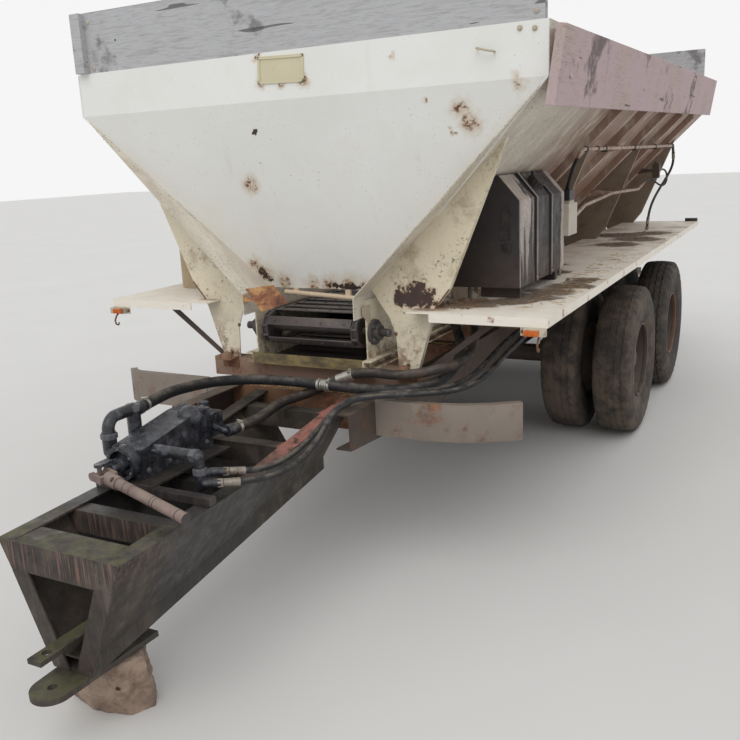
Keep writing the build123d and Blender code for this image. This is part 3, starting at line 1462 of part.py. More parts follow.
def guard_tube():
    """Tube under the front sheet, hung from it by two tabs."""
    left, right = GUARD_TUBE_ENDS
    tube = rod((left[0], GUARD_TUBE_Y, left[1]), (right[0], GUARD_TUBE_Y, right[1]), GUARD_TUBE_R)
    rear = FRONT_SET + 3
    half = GUARD_TAB_HALF
    low = VEE_BOTTOM - 3 * GUARD_TUBE_R
    for x in GUARD_TAB_XS:
        tube = tube + block(x - half, x + half, GUARD_TUBE_Y, rear, low, VEE_BOTTOM - SEAT)
    return tube


def guard_plate():
    """Tilted cover plate in front of the conveyor, held on the inside of the right skirt."""
    plate = slab_xz(GUARD_PLATE, GUARD_PLATE_Y, GUARD_PLATE_T)
    outer = SHEET + SEAT - VEE_HALF
    rear = GUARD_PLATE_Y + GUARD_FOOT_LENGTH
    arm = block(outer, GUARD_ARM_END, GUARD_PLATE_Y, GUARD_PLATE_Y + GUARD_PLATE_T, *GUARD_ARM)
    foot = block(outer, outer + GUARD_FOOT_T, GUARD_PLATE_Y, rear, *GUARD_FOOT)
    return plate + arm + foot


def marker_lamp():
    """Lamp on a plate that hangs from the left fender's front corner."""
    high = FENDER_TOP - FENDER_LIP - SEAT
    y = FENDER_FRONT
    plate = block(
        FENDER_OUTER - LAMP_PLATE_WIDTH, FENDER_OUTER - FENDER_T,
        y, y + 3, FENDER_TOP - LAMP_PLATE_DROP, high,
    )
    low = FENDER_TOP - LAMP_PLATE_DROP + 4
    lamp = block(
        FENDER_OUTER - LAMP_LENGTH - FENDER_T, FENDER_OUTER - FENDER_T,
        y - LAMP_DEPTH, y - SEAT, low, low + LAMP_HEIGHT - 15,
    )
    return plate + lamp


def tail_lamps():
    """Two round lamps under the rear bar's left end, each with its foot."""
    y = REAR_REACH - LIGHT_BAR_DEPTH / 2
    high = MOTOR_PLATE_TOP - MOTOR_PLATE_T - LIGHT_BAR_DEPTH - SEAT
    z = high - TAIL_LAMP_R - LAMP_FOOT
    lamps = []
    for x in TAIL_LAMP_XS:
        foot = block(x - LAMP_FOOT, x + LAMP_FOOT, y, REAR_REACH - LAMP_FOOT, z, high)
        lamps.append(rod((x, y, z), (x, REAR_REACH, z), TAIL_LAMP_R) + foot)
    return lamps


def spinner_disc(side):
    """Flat disc with four blades, on its hub."""
    x = side * SPINNER_X
    z = SPINNER_Z
    plate = rod((x, SPINNER_Y, z), (x, SPINNER_Y, z + SPINNER_T), SPINNER_R)
    hub = rod((x, SPINNER_Y, z - SPINNER_HUB_LOW), (x, SPINNER_Y, z + SPINNER_HUB_HIGH), SPINNER_HUB_R)
    whole = plate + hub
    half = SPINNER_T / 2
    for index in range(BLADES):
        blade = block(SPINNER_HUB_R - 5, SPINNER_R - 5, -half, half, z + SPINNER_T - 1, z + BLADE_HEIGHT)
        whole = whole + Pos(x, SPINNER_Y, 0) * (Rot(0, 0, 360 / BLADES * index + BLADE_TURN) * blade)
    bore_top = z + SPINNER_HUB_HIGH - 5
    bore = rod((x, SPINNER_Y, z - 2 * SPINNER_HUB_LOW), (x, SPINNER_Y, bore_top), SPINNER_SHAFT_R + SEAT)
    return whole - bore


def spinner_motor(side):
    """Hydraulic motor under the plate, its shaft up into the disc's hub."""
    x = side * SPINNER_X
    low = MOTOR_PLATE_TOP - MOTOR_PLATE_T - SEAT
    body = rod((x, SPINNER_Y, low - MOTOR_LENGTH), (x, SPINNER_Y, low), MOTOR_R)
    shaft_top = SPINNER_Z + SPINNER_HUB_HIGH - 10
    shaft = rod((x, SPINNER_Y, low - 1), (x, SPINNER_Y, shaft_top), SPINNER_SHAFT_R)
    return body + shaft


def spinner_arm():
    """Left arm under the rail's rear end, packed up to the rail's bottom face."""
    top = MOTOR_PLATE_TOP - MOTOR_PLATE_T - SEAT
    rail_bottom = RAIL_TOP - RAIL_HEIGHT
    arm = block(ARM_IN, ARM_OUT, RAIL_REAR - 260, REAR_REACH - LIGHT_BAR_DEPTH - SEAT, top - ARM_DEPTH, top)
    pack = block(ARM_IN, RAIL_X, RAIL_REAR - 250, RAIL_REAR - 10, top, rail_bottom - SEAT)
    return arm + pack


def motor_plate():
    """Plate over the two arms that both motors hang from."""
    top = MOTOR_PLATE_TOP
    plate = block(-ARM_OUT, ARM_OUT, SPINNER_Y - 90, SPINNER_Y + 90, top - MOTOR_PLATE_T, top)
    for side in (1, -1):
        x = side * SPINNER_X
        plate = plate - rod((x, SPINNER_Y, top - 30), (x, SPINNER_Y, top + 5), SPINNER_SHAFT_R + SEAT)
    return plate


def light_bar():
    """Square tube across the rear ends of the arms."""
    top = MOTOR_PLATE_TOP - MOTOR_PLATE_T
    y = REAR_REACH
    return block(-LIGHT_BAR_HALF, LIGHT_BAR_HALF, y - LIGHT_BAR_DEPTH, y, top - LIGHT_BAR_DEPTH, top)


def rear_gate():
    """Plate that slides up and down behind the discharge opening, with its lifting stem."""
    y = HOPPER_LENGTH + SEAT + GATE_GAP * 2
    top = GATE_BOTTOM + GATE_HEIGHT
    plate = block(-GATE_HALF, GATE_HALF, y, y + GATE_T, GATE_BOTTOM, top)
    stem = rod((0, y + GATE_T / 2, top - 1), (0, y + GATE_T / 2, top + STEM_LENGTH), STEM_R)
    return plate + stem


def gate_guide():
    """Left upright guide on the rear wall, grooved for the gate's edge."""
    y = HOPPER_LENGTH + SEAT
    slot_y = y + GATE_GAP
    low = GATE_BOTTOM - 10
    high = GATE_BOTTOM + GATE_HEIGHT + GATE_LIFT
    body = block(DISCHARGE_HALF + 4, VEE_HALF - SEAT, y, y + 3 * GATE_GAP + 2 * GATE_T, low, high)
    slot = block(DISCHARGE_HALF, GATE_HALF + 3, slot_y, slot_y + 2 * GATE_GAP + GATE_T, low - 1, high + 1)
    return body - slot


def stem_guide():
    """Bracket on the rear wall that the gate's stem slides through."""
    y = HOPPER_LENGTH + SEAT
    stem_y = y + GATE_GAP * 2 + GATE_T / 2
    half = 3 * STEM_R
    body = block(-half, half, y, stem_y + 2 * STEM_R, STEM_GUIDE_LOW, STEM_GUIDE_HIGH)
    eye = rod((0, stem_y, STEM_GUIDE_LOW - 1), (0, stem_y, STEM_GUIDE_HIGH + 1), STEM_R + SEAT)
    return body - eye


def main():
    os.makedirs("parts", exist_ok=True)
    axle_ys = [y for _, y in AXLES]
    shaft_ys = (FRONT_SHAFT_Y, REAR_SHAFT_Y)

    save("hopper_side_left", hopper_side())
    save("hopper_side_right", mirror(hopper_side(), Plane.YZ))
    save("hopper_front", hopper_front())
    save("hopper_rear", hopper_rear())
    save("side_ribs", *[both_sides(side_rib(y)) for y in RIB_YS])
    save("hopper_legs", *[both_sides(front_leg(y)) for y in STATIONS])
    save("side_boards", *[on_side(side_board(start), side) for side, start in SIDE_BOARDS])
    save("end_boards", front_board(), rear_board())

    save("frame_rails", *[on_side(frame_rail(nose), side) for side, nose in RAILS])
    save("frame_crossmembers", *[cross_member(y) for y in CROSS_YS])
    save("cross_bearers", *[cross_bearer(y) for y in STATIONS])
    save("front_bumper", *[on_side(bumper_half(row[1:]), row[0]) for row in BUMPERS])
    save("fenders", *[fender(side) for _, side in SIDES])
    save("fender_braces", *[both_sides(fender_brace(y)) for y in STATIONS])

    save("trough_sides", both_sides(trough_side()))
    save("trough_floors", trough_pan(), trough_deck())
    save("conveyor_chain", conveyor_chain())
    save("conveyor_shafts", *[conveyor_shaft(y) for y in shaft_ys])
    save("flange_bearings", *[both_sides(flange_bearing(y)) for y in shaft_ys])

    save("axles", *[axle(y) for y in axle_ys])
    save("leaf_springs", both_sides(leaf_spring()))
    save("spring_hangers", both_sides(trunnion()), *[both_sides(axle_seat(y)) for y in axle_ys])
    for end_name, y in AXLES:
        for side_name, side in SIDES:
            save("tyres_" + end_name + "_" + side_name, dual_tyres(y, side))
            save("wheels_" + end_name + "_" + side_name, dual_wheel(y, side))

    save("tongue_sides", both_sides(tongue_side()))
    save("tongue_keel", tongue_keel())
    save("tongue_beam", tongue_beam())
    save("tongue_crossmembers", *[tongue_cross(y) for y in TONGUE_CROSS_YS])
    save("nose_posts", both_sides(nose_post()))
    save("hitch_ears", lower_ear(), upper_ear())
    save("support_block", support_block())

    save("oil_tank", oil_tank())
    save("tank_fittings", tank_ribs(), tank_hangers(), filler_cap())
    save("canister", canister())

    save("pump_body", pump_body())
    save("pump_deck", pump_deck())
    save("pump_ports", suction_ports(), pressure_ports(), valve_block())
    save("drive_shaft", drive_shaft())

    save("hose_suction", hose("suction hose", SUCTION_ROUTE, SUCTION_D))
    save("hose_return", hose("return hose", RETURN_ROUTE, RETURN_D))
    save("hose_pressure_upper", hose("upper pressure hose", UPPER_ROUTE, PRESSURE_D))
    save("hose_pressure_lower", hose("lower pressure hose", LOWER_ROUTE, PRESSURE_D))
    save("hose_rear_drop", hose("rear hose", DROP_ROUTE, DROP_D))
    save("hose_rear_loop", hose("rear loop", LOOP_ROUTE, LOOP_D))
    ports = [tank_port(SUCTION_ROUTE, SUCTION_D / 2 + 3), tank_port(RETURN_ROUTE, RETURN_D / 2 + 3)]
    pressure_routes = (UPPER_ROUTE, LOWER_ROUTE)
    save(
        "hose_fittings", ports, drop_foot(),
        [bulkhead(route) for route in pressure_routes], [riser(route) for route in pressure_routes],
    )
    save("steel_lines", steel_lines())
    save("conveyor_guards", guard_tube(), guard_plate())
    save("lamps", both_sides(marker_lamp()), *[both_sides(lamp) for lamp in tail_lamps()])

    save("spinner_left", spinner_disc(1))
    save("spinner_right", spinner_disc(-1))
    save("spinner_motors", spinner_motor(1), spinner_motor(-1))
    save("spinner_frame", both_sides(spinner_arm()), motor_plate(), light_bar())
    save("rear_gate", rear_gate())
    save("gate_guides", both_sides(gate_guide()), stem_guide())


main()
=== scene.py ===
import bpy
import bmesh
import json
import math
import random
from mathutils import Matrix, Vector, noise


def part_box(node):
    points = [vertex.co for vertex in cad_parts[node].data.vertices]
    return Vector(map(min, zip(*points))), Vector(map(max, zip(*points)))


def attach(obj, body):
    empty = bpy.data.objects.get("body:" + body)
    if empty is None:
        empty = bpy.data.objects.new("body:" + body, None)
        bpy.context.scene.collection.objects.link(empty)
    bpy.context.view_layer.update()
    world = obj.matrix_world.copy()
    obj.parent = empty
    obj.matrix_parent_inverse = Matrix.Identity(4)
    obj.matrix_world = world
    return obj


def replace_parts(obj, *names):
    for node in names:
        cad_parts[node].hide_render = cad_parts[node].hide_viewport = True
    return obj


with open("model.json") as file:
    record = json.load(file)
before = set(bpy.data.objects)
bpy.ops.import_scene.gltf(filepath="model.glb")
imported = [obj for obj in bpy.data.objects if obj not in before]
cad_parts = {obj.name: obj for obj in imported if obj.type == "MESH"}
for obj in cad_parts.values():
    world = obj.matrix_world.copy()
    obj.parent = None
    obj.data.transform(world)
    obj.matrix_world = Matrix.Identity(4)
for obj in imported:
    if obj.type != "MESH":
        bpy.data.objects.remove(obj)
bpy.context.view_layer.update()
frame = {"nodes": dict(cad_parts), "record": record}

# A towed V-box fertilizer spreader, dressed over its frame.
# Metres. X to the machine's left, Y to its rear, Z up from the ground.
# Places along the machine are written from the hopper's front face, as at(x, y, z).

FRONT_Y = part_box("hopper_front")[0].y
CHANCE = random.Random(11)


def at(x, y, z):
    """A point in the row frame, its y counted from the hopper's front face."""
    return Vector((x, y + FRONT_Y, z))


# Camera, solved from the photograph
CAMERA_AT = (2.164, -3.319, 1.926)
CAMERA_YAW = -0.492
CAMERA_PITCH = 0.244
CAMERA_ROLL = -0.047
FOCAL_PIXELS = 838.19
FRAME_PIXELS = 740
SENSOR_MM = 36.0


def shade(value):
    """A colour of 0 to 255 per channel, ready for a socket; a node's output stays as it is."""
    if hasattr(value, "links"):
        return value
    out = []
    for channel in value:
        c = channel / 255
        out.append(c / 12.92 if c <= 0.04045 else ((c + 0.055) / 1.055) ** 2.4)
    return (*out, 1.0)


def make_camera():
    """The camera of the photograph."""
    yaw, pitch = CAMERA_YAW, CAMERA_PITCH
    forward = Vector((math.sin(yaw) * math.cos(pitch), math.cos(yaw) * math.cos(pitch), -math.sin(pitch)))
    right = Vector((math.cos(yaw), -math.sin(yaw), 0))
    up = right.cross(forward)
    tilted_right = math.cos(CAMERA_ROLL) * right + math.sin(CAMERA_ROLL) * up
    tilted_up = math.cos(CAMERA_ROLL) * up - math.sin(CAMERA_ROLL) * right
    data = bpy.data.cameras.new("camera")
    data.sensor_width = SENSOR_MM
    data.lens = SENSOR_MM * FOCAL_PIXELS / FRAME_PIXELS
    camera = bpy.data.objects.new("camera", data)
    place = Matrix((tilted_right, tilted_up, -forward)).transposed().to_4x4()
    place.translation = at(*CAMERA_AT)
    camera.matrix_world = place
    bpy.context.scene.collection.objects.link(camera)
    bpy.context.scene.camera = camera


make_camera()


# Node trees

class Tree:
    """A material's node tree with short calls for the nodes that the finishes use."""

    def __init__(self, name, roughness=0.8, metallic=0.0):
        self.material = bpy.data.materials.new(name)
        self.material.use_nodes = True
        self.nodes = self.material.node_tree.nodes
        self.links = self.material.node_tree.links
        self.shader = self.nodes["Principled BSDF"]
        self.shader.inputs["Roughness"].default_value = roughness
        self.shader.inputs["Metallic"].default_value = metallic
        self.coordinates = self.nodes.new("ShaderNodeTexCoord").outputs["Object"]
        self.base = None

    def set(self, socket, value):
        if hasattr(value, "links"):
            self.links.new(value, socket)
        else:
            socket.default_value = value

    def vector(self, operation, a, b):
        node = self.nodes.new("ShaderNodeVectorMath")
        node.operation = operation
        self.set(node.inputs[0], a)
        self.set(node.inputs[1], b)
        return node.outputs["Value" if operation == "DISTANCE" else "Vector"]

    def stretched(self, x, y, z):
        return self.vector("MULTIPLY", self.coordinates, (x, y, z))

    def noise_node(self, scale, detail, roughness, vector, distortion):
        node = self.nodes.new("ShaderNodeTexNoise")
        node.inputs["Scale"].default_value = scale
        node.inputs["Detail"].default_value = detail
        node.inputs["Roughness"].default_value = roughness
        node.inputs["Distortion"].default_value = distortion
        self.links.new(vector or self.coordinates, node.inputs["Vector"])
        return node

    def noise(self, scale, detail=6.0, roughness=0.6, vector=None, distortion=0.0):
        return self.noise_node(scale, detail, roughness, vector, distortion).outputs["Fac"]

    def wobbled(self, scale, reach):
        """Coordinates shaken by noise, for ragged outlines."""
        shake = self.noise_node(scale, 4.0, 0.6, None, 0.0).outputs["Color"]
        centred = self.vector("SUBTRACT", shake, (0.5, 0.5, 0.5))
        return self.vector("ADD", self.coordinates, self.vector("MULTIPLY", centred, (reach, reach, reach)))

    def cells(self, scale):
        node = self.nodes.new("ShaderNodeTexVoronoi")
        node.inputs["Scale"].default_value = scale
        self.links.new(self.coordinates, node.inputs["Vector"])
        return node.outputs["Distance"]

    def axis(self, name, vector=None):
        node = self.nodes.new("ShaderNodeSeparateXYZ")
        self.links.new(vector or self.coordinates, node.inputs[0])
        return node.outputs[name]

    def facing(self, name):
        """One component of the surface's own normal."""
        geometry = self.nodes.new("ShaderNodeNewGeometry")
        return self.axis(name, geometry.outputs["Normal"])

    def math(self, operation, a, b=0.0, clamp=False):
        node = self.nodes.new("ShaderNodeMath")
        node.operation = operation
        node.use_clamp = clamp
        self.set(node.inputs[0], a)
        self.set(node.inputs[1], b)
        return node.outputs[0]

    def times(self, first, *others):
        for other in others:
            first = self.math("MULTIPLY", first, other)
        return first

    def plus(self, a, b):
        return self.math("ADD", a, b)

    def minus(self, a, b):
        return self.math("SUBTRACT", a, b)

    def larger(self, a, b):
        return self.math("MAXIMUM", a, b)

    def between(self, value, low, high):
        """0 below low, 1 above high; low may be the larger one."""
        node = self.nodes.new("ShaderNodeMapRange")
        node.interpolation_type = "SMOOTHSTEP"
        self.links.new(value, node.inputs["Value"])
        node.inputs["From Min"].default_value = low
        node.inputs["From Max"].default_value = high
        return node.outputs["Result"]

    def spot(self, place, radius, vector=None, soft=0.5):
        """1 at a place, 0 beyond a radius."""
        distance = self.vector("DISTANCE", vector or self.coordinates, tuple(place))
        return self.between(distance, radius, radius * (1 - soft))

    def spots(self, places, vector=None, soft=0.5):
        """The largest of several spots, each a place and a radius."""
        whole = None
        for place, radius in places:
            one = self.spot(at(*place), radius, vector, soft)
            whole = one if whole is None else self.larger(whole, one)
        return whole

    def mix(self, share, a, b):
        node = self.nodes.new("ShaderNodeMix")
        node.data_type = "RGBA"
        self.set(node.inputs[0], share)
        self.set(node.inputs[6], shade(a))
        self.set(node.inputs[7], shade(b))
        return node.outputs[2]

    def along(self, name, low, high):
        """0 to 1 from one place along an axis to another."""
        return self.between(self.axis(name), low, high)

    def faces(self, name, low, high):
        """0 to 1 as the surface turns to face along an axis."""
        return self.between(self.facing(name), low, high)

    def patch(self, low, high, *noise):
        """0 to 1 where a noise climbs from low to high."""
        return self.between(self.noise(*noise), low, high)

    def tones(self, a, b, *noise):
        """Two colours mixed by a noise."""
        return self.mix(self.noise(*noise), a, b)

    def coat(self, colour, *shares):
        """Lays a colour on the base, by the product of the shares."""
        self.base = self.mix(self.times(*shares), self.base, colour)

    def ramp(self, value, stops):
        node = self.nodes.new("ShaderNodeValToRGB")
        elements = node.color_ramp.elements
        while len(elements) < len(stops):
            elements.new(0.5)
        for element, (position, colour) in zip(elements, stops):
            element.position = position
            element.color = shade(colour)
        self.links.new(value, node.inputs[0])
        return node.outputs["Color"]

    def finish(self, roughness=None, height=None, depth=0.001, strength=0.6):
        """Ends the tree; height is the relief, depth in metres."""
        self.set(self.shader.inputs["Base Color"], self.base)
        if roughness is not None:
            self.set(self.shader.inputs["Roughness"], roughness)
        if height is not None:
            node = self.nodes.new("ShaderNodeBump")
            node.inputs["Strength"].default_value = strength
            node.inputs["Distance"].default_value = depth
            self.links.new(height, node.inputs["Height"])
            self.links.new(node.outputs[0], self.shader.inputs["Normal"])
        return self.material


# Finishes

RUST_DARK = (58, 38, 30)
RUST_MID = (112, 68, 44)
RUST_LIGHT = (160, 104, 66)
CREAM_LOW = (222, 221, 214)
CREAM_HIGH = (240, 240, 237)
STRAW = (196, 172, 118)


def rust_colour(tree, scale=18.0):
    """Patchy rust, from near black to orange."""
    return tree.ramp(
        tree.noise(scale, 8, 0.7),
        [(0.3, RUST_DARK), (0.5, RUST_MID), (0.68, RUST_LIGHT)],
    )


def mildew(tree, share, low):
    """Dark pin-sized specks that gather in patches."""
    specks = tree.times(
        tree.patch(low, low + 0.08, 110.0, 3, 0.6),
        tree.patch(0.42, 0.6, 3.2, 5, 0.65),
    )
    tree.coat((72, 60, 48), specks, share)


def front_paint(name, rust_places, dark_places):
    """White paint of the front sheet: faint stains, small runs, rust where it has broken through."""
    tree = Tree(name, 0.5)
    tree.base = tree.tones(CREAM_LOW, CREAM_HIGH, 1.6, 4, 0.6)
    warm = tree.patch(0.52, 0.74, 4.5, 6, 0.7)
    tree.coat((224, 216, 194), warm, 0.22)
    runs = tree.patch(0.6, 0.8, 10.0, 6, 0.65, tree.stretched(1.0, 1.0, 0.08))
    tree.coat((178, 168, 150), runs, 0.2)
    low = tree.along("Z", 1.9, 1.28)
    grime = tree.times(low, tree.patch(0.4, 0.75, 6.0, 7, 0.7))
    tree.coat((206, 190, 156), grime, 0.22)
    mildew(tree, 0.45, 0.64)
    ragged = tree.wobbled(22.0, 0.09)
    halo = tree.spots([(place, radius * 1.9) for place, radius in rust_places], ragged, 0.9)
    tree.coat((190, 158, 112), halo, 0.6)
    rust = tree.times(tree.spots(rust_places, ragged, 0.6), tree.patch(0.46, 0.56, 46.0, 6, 0.75))
    tree.coat(rust_colour(tree, 40), rust)
    chips = tree.spots(dark_places, ragged, 0.3)
    tree.coat((52, 38, 30), chips)
    rough = tree.patch(0.1, 1.5, 12.0, 5, 0.6)
    height = tree.minus(
        tree.times(tree.noise(50.0, 4, 0.6), 0.3), tree.times(tree.larger(rust, chips), 0.8),
    )
    return tree.finish(tree.plus(rough, 0.2), height, 0.002, 0.5)


def side_paint(name, rear_brown=0.75):
    """Paint of the hopper's sides: cream in front, washed with pinkish brown dirt to the rear and below."""
    tree = Tree(name, 0.6)
    tree.base = tree.tones((206, 197, 180), (226, 219, 205), 2.4, 5, 0.6)
    flow = tree.noise(5.0, 7, 0.68, tree.stretched(1.0, 1.6, 0.35), 0.3)
    back = tree.along("Y", -1.8, 0.6)
    dirt = tree.times(tree.between(flow, 0.34, 0.62), tree.plus(tree.times(back, rear_brown * 0.35), 0.30))
    tree.coat(tree.tones((112, 94, 78), (150, 126, 106), 9.0, 6, 0.7), dirt)
    behind = tree.times(
        tree.along("Y", -1.5, -0.6), tree.math("ADD", tree.between(flow, 0.3, 0.6), 0.35, True),
    )
    tree.coat(tree.tones((120, 92, 78), (166, 128, 110), 3.0, 6, 0.7), behind, 0.85)
    dark = tree.patch(0.62, 0.74, 7.0, 8, 0.72, tree.stretched(1.0, 1.0, 0.3))
    tree.coat((82, 62, 52), dark, 0.6)
    mildew(tree, 0.6, 0.55)
    rust = tree.times(tree.patch(0.62, 0.68, 11.0, 9, 0.74), tree.patch(0.46, 0.58, 1.7, 4, 0.5))
    tree.coat(rust_colour(tree, 30), rust, 0.85)
    height = tree.plus(tree.times(tree.noise(60.0, 4, 0.6), 0.3), tree.times(rust, -0.6))
    return tree.finish(tree.patch(-0.3, 1.2, 12.0, 5, 0.6), height, 0.002, 0.5)


def leg_paint(name, rust_places=()):
    """Cream plate with dense black mildew and rust creeping up from its foot, and painted shadow in dark
    brown towards its rear.
    """
    tree = Tree(name, 0.6)
    tree.base = tree.tones((208, 196, 168), (230, 220, 198), 3.0, 5, 0.6)
    blotch = tree.times(tree.patch(0.50, 0.68, 6.5, 8, 0.72), tree.along("Z", 1.05, 1.35))
    tree.coat((140, 122, 92), blotch, 0.55)
    patch = tree.patch(0.46, 0.62, 7.0, 6, 0.7)
    specks = tree.times(tree.patch(0.54, 0.62, 62.0, 6, 0.72), tree.plus(tree.times(patch, 0.8), 0.12))
    tree.coat((60, 48, 36), specks, 0.85)
    # Painted shadow: dark brown laid over everything towards the rear, standing in for the shade there.
    rear = tree.along("Y", -1.2, -0.9)
    tree.coat(tree.tones((78, 62, 52), (122, 96, 80), 5.0, 6, 0.7), rear, 0.8)
    low = tree.along("Z", 1.25, 0.96)
    rust = tree.times(tree.patch(0.46, 0.6, 12.0, 8, 0.72), low)
    tree.coat(rust_colour(tree, 26), rust, 0.8)
    if rust_places:
        ragged = tree.wobbled(26.0, 0.13)
        halo = tree.spots([(place, radius * 1.35) for place, radius in rust_places], ragged, 0.5)
        tree.coat((178, 140, 104), halo, 0.7)
        torn = tree.spots(rust_places, ragged, 0.2)
        tree.coat(tree.tones((44, 32, 32), (84, 62, 56), 30.0, 6, 0.7), torn)
    height = tree.plus(tree.times(tree.noise(70.0, 4, 0.6), 0.4), tree.times(rust, 0.5))
    return tree.finish(None, height, 0.002, 0.55)


def fender_paint(name):
    """Cream deck under mud and chaff, cleaner at its front edge, thick with dirt along the tank, with painted
    shade on its downward faces.
    """
    tree = Tree(name, 0.75)
    tree.base = tree.tones((226, 216, 200), (244, 237, 226), 3.0, 5, 0.6)
    mud = tree.patch(0.42, 0.68, 4.2, 8, 0.7)
    level = tree.faces("Z", 0.3, 0.9)
    back = tree.along("Y", -0.2, 1.2)
    cover = tree.times(mud, tree.plus(tree.times(back, 0.42), 0.22), level)
    tree.coat(tree.tones((132, 112, 92), (176, 156, 134), 16.0, 7, 0.75), cover)
    ragged = tree.wobbled(7.0, 0.22)
    heaps = tree.times(tree.spots(DIRT_PLACES, ragged, 0.35), level)
    grain = tree.patch(0.36, 0.58, 42.0, 8, 0.78)
    soil = tree.mix(grain, (62, 48, 38), (122, 98, 78))
    tree.coat(soil, heaps, tree.plus(tree.times(grain, 0.2), 0.78))
    near_leg = tree.times(tree.spots(BROWN_PLACES, ragged, 0.5), level)
    tree.coat(tree.mix(grain, (108, 76, 54), (160, 120, 92)), near_leg, 0.8)
    clods = tree.times(tree.larger(heaps, near_leg), grain)
    # Painted shade: flat dark brown on every downward-facing surface.
    under = tree.faces("Z", -0.3, -0.8)
    tree.coat((72, 58, 48), under)
    edge_rust = tree.times(tree.patch(0.58, 0.66, 13.0, 8, 0.72), tree.minus(1.0, level))
    tree.coat(rust_colour(tree, 26), edge_rust, 0.8)
    height = tree.plus(tree.noise(60.0, 5, 0.7), tree.times(clods, 1.2))
    return tree.finish(None, height, 0.004, 0.6)


def rusty(name, colour, worn, amount=0.5, scale=9.0, gloss=0.75, dusty=0.45):
    """Old paint broken up by rust and dust."""
    tree = Tree(name, gloss)
    tree.base = tree.tones(colour, worn, scale * 0.6, 5, 0.6)
    rust = tree.patch(0.66 - 0.26 * amount, 0.80 - 0.22 * amount, scale, 9, 0.72)
    tree.coat(rust_colour(tree, scale * 3), rust, 0.85)
    dust = tree.times(tree.faces("Z", 0.3, 0.95), tree.patch(0.35, 0.7, 6.0, 6, 0.7))
    tree.coat((140, 128, 108), dust, dusty)
    height = tree.plus(tree.noise(scale * 8, 5, 0.7), tree.times(rust, 0.5))
    return tree.finish(tree.patch(-0.9 * gloss, 1.2, scale * 2, 4, 0.6), height, 0.0025, 0.55)


def greasy(name, wet=0.35):
    """Castings under oil and dirt, with bare and rusty places."""
    tree = Tree(name, wet)
    tree.base = tree.ramp(tree.noise(20.0, 8, 0.7), [
        (0.32, (20, 20, 23)), (0.5, (46, 47, 52)), (0.64, (84, 86, 94)), (0.78, (128, 130, 138)),
    ])
    rust = tree.patch(0.66, 0.74, 14.0, 6, 0.6)
    tree.coat((88, 62, 46), rust, 0.4)
    rough = tree.patch(0.1, 1.3, 28.0, 5, 0.6)
    height = tree.plus(tree.noise(70.0, 6, 0.75), tree.times(tree.cells(60.0), 0.4))
    return tree.finish(rough, height, 0.003, 0.6)


def tongue_finish(name):
    """Oily dark steel, mossy on its front beam, with old red paint left on the left flange."""
    tree = Tree(name, 0.5)
    tree.base = tree.ramp(tree.noise(6.0, 8, 0.7), [
        (0.3, (34, 31, 28)), (0.5, (60, 54, 48)), (0.7, (92, 82, 72)),
    ])
    streak = tree.patch(0.55, 0.7, 16.0, 6, 0.6, tree.stretched(1.0, 1.0, 0.12))
    tree.coat((108, 100, 88), streak, 0.4)
    rust = tree.times(tree.patch(0.60, 0.72, 9.0, 8, 0.7), tree.along("Y", -3.3, -2.4))
    tree.coat((100, 66, 50), rust, 0.6)
    level = tree.faces("Z", 0.5, 0.95)
    along = tree.axis("Y")
    red = tree.times(tree.along("X", 0.17, 0.2), level, tree.between(along, -2.88, -2.72))
    worn = tree.patch(0.36, 0.52, 13.0, 8, 0.7)
    tree.coat(tree.tones((116, 72, 62), (176, 118, 104), 24.0, 6, 0.7), red, worn)
    moss = tree.times(level, tree.patch(0.4, 0.6, 7.0, 7, 0.7), tree.between(along, -3.2, -3.45))
    tree.coat(tree.tones((62, 66, 40), (112, 108, 74), 30.0, 6, 0.7), moss, 0.75)
    upright = tree.between(tree.math("ABSOLUTE", tree.facing("Z")), 0.55, 0.35)
    streaks = tree.patch(0.46, 0.64, 95.0, 5, 0.65, tree.stretched(1.0, 1.0, 0.05))
    high = tree.along("Z", 0.60, 0.64)
    front = tree.times(streaks, upright, tree.plus(tree.times(high, 0.55), 0.15))
    tree.coat((128, 98, 86), front, tree.between(along, -2.9, -3.2))
    wet = tree.times(tree.between(along, -2.50, -2.72), tree.between(along, -3.38, -3.18))
    tree.coat((34, 34, 37), wet, 0.62)
    oil = tree.larger(tree.patch(0.5, 0.62, 5.0, 5, 0.6), wet)
    rough = tree.minus(tree.patch(-0.5, 1.1, 18.0, 4, 0.6), tree.times(oil, 0.28))
    return tree.finish(rough, tree.noise(45.0, 6, 0.7), 0.0025, 0.55)


def weathered_wood(name, grain_axis, low, high, dark, pink=None, stained=0.6):
    """Old planks: fine wavy grain drawn out along one axis, a few open checks, nail spots, water stains."""
    stretch = {"X": (1.6, 20.0, 20.0), "Y": (20.0, 1.6, 20.0), "Z": (20.0, 20.0, 1.6)}[grain_axis]
    tree = Tree(name, 0.9)
    vector = tree.stretched(*stretch)
    grain = tree.noise(3.0, 10, 0.7, vector, 0.6)
    tree.base = tree.ramp(grain, [(0.32, low), (0.5, high), (0.66, low)])
    lines = tree.patch(0.52, 0.66, 9.0, 6, 0.75, vector, 0.3)
    tree.coat(dark, lines, 0.38)
    if pink is not None:
        faded = tree.patch(0.36, 0.6, 1.8, 5, 0.6)
        tree.coat(pink, faded, 0.75)
    worn = tree.times(tree.patch(0.6, 0.72, 4.5, 8, 0.7), lines)
    tree.coat((206, 200, 192), worn, 0.5)
    checks = tree.patch(0.700, 0.712, 1.3, 2, 0.5, vector, 0.2)
    tree.coat((66, 58, 55), checks, 0.7)
    nails = tree.between(tree.cells(5.5), 0.045, 0.02)
    tree.coat((58, 48, 44), nails)
    stain = tree.times(tree.patch(0.56, 0.62, 1.7, 8, 0.68), tree.patch(0.2, 0.5, 20.0, 4, 0.6))
    tree.coat((70, 64, 62), stain, stained)
    height = tree.minus(grain, tree.plus(tree.times(checks, 1.2), tree.times(lines, 0.2)))
    return tree.finish(None, height, 0.003, 0.6)


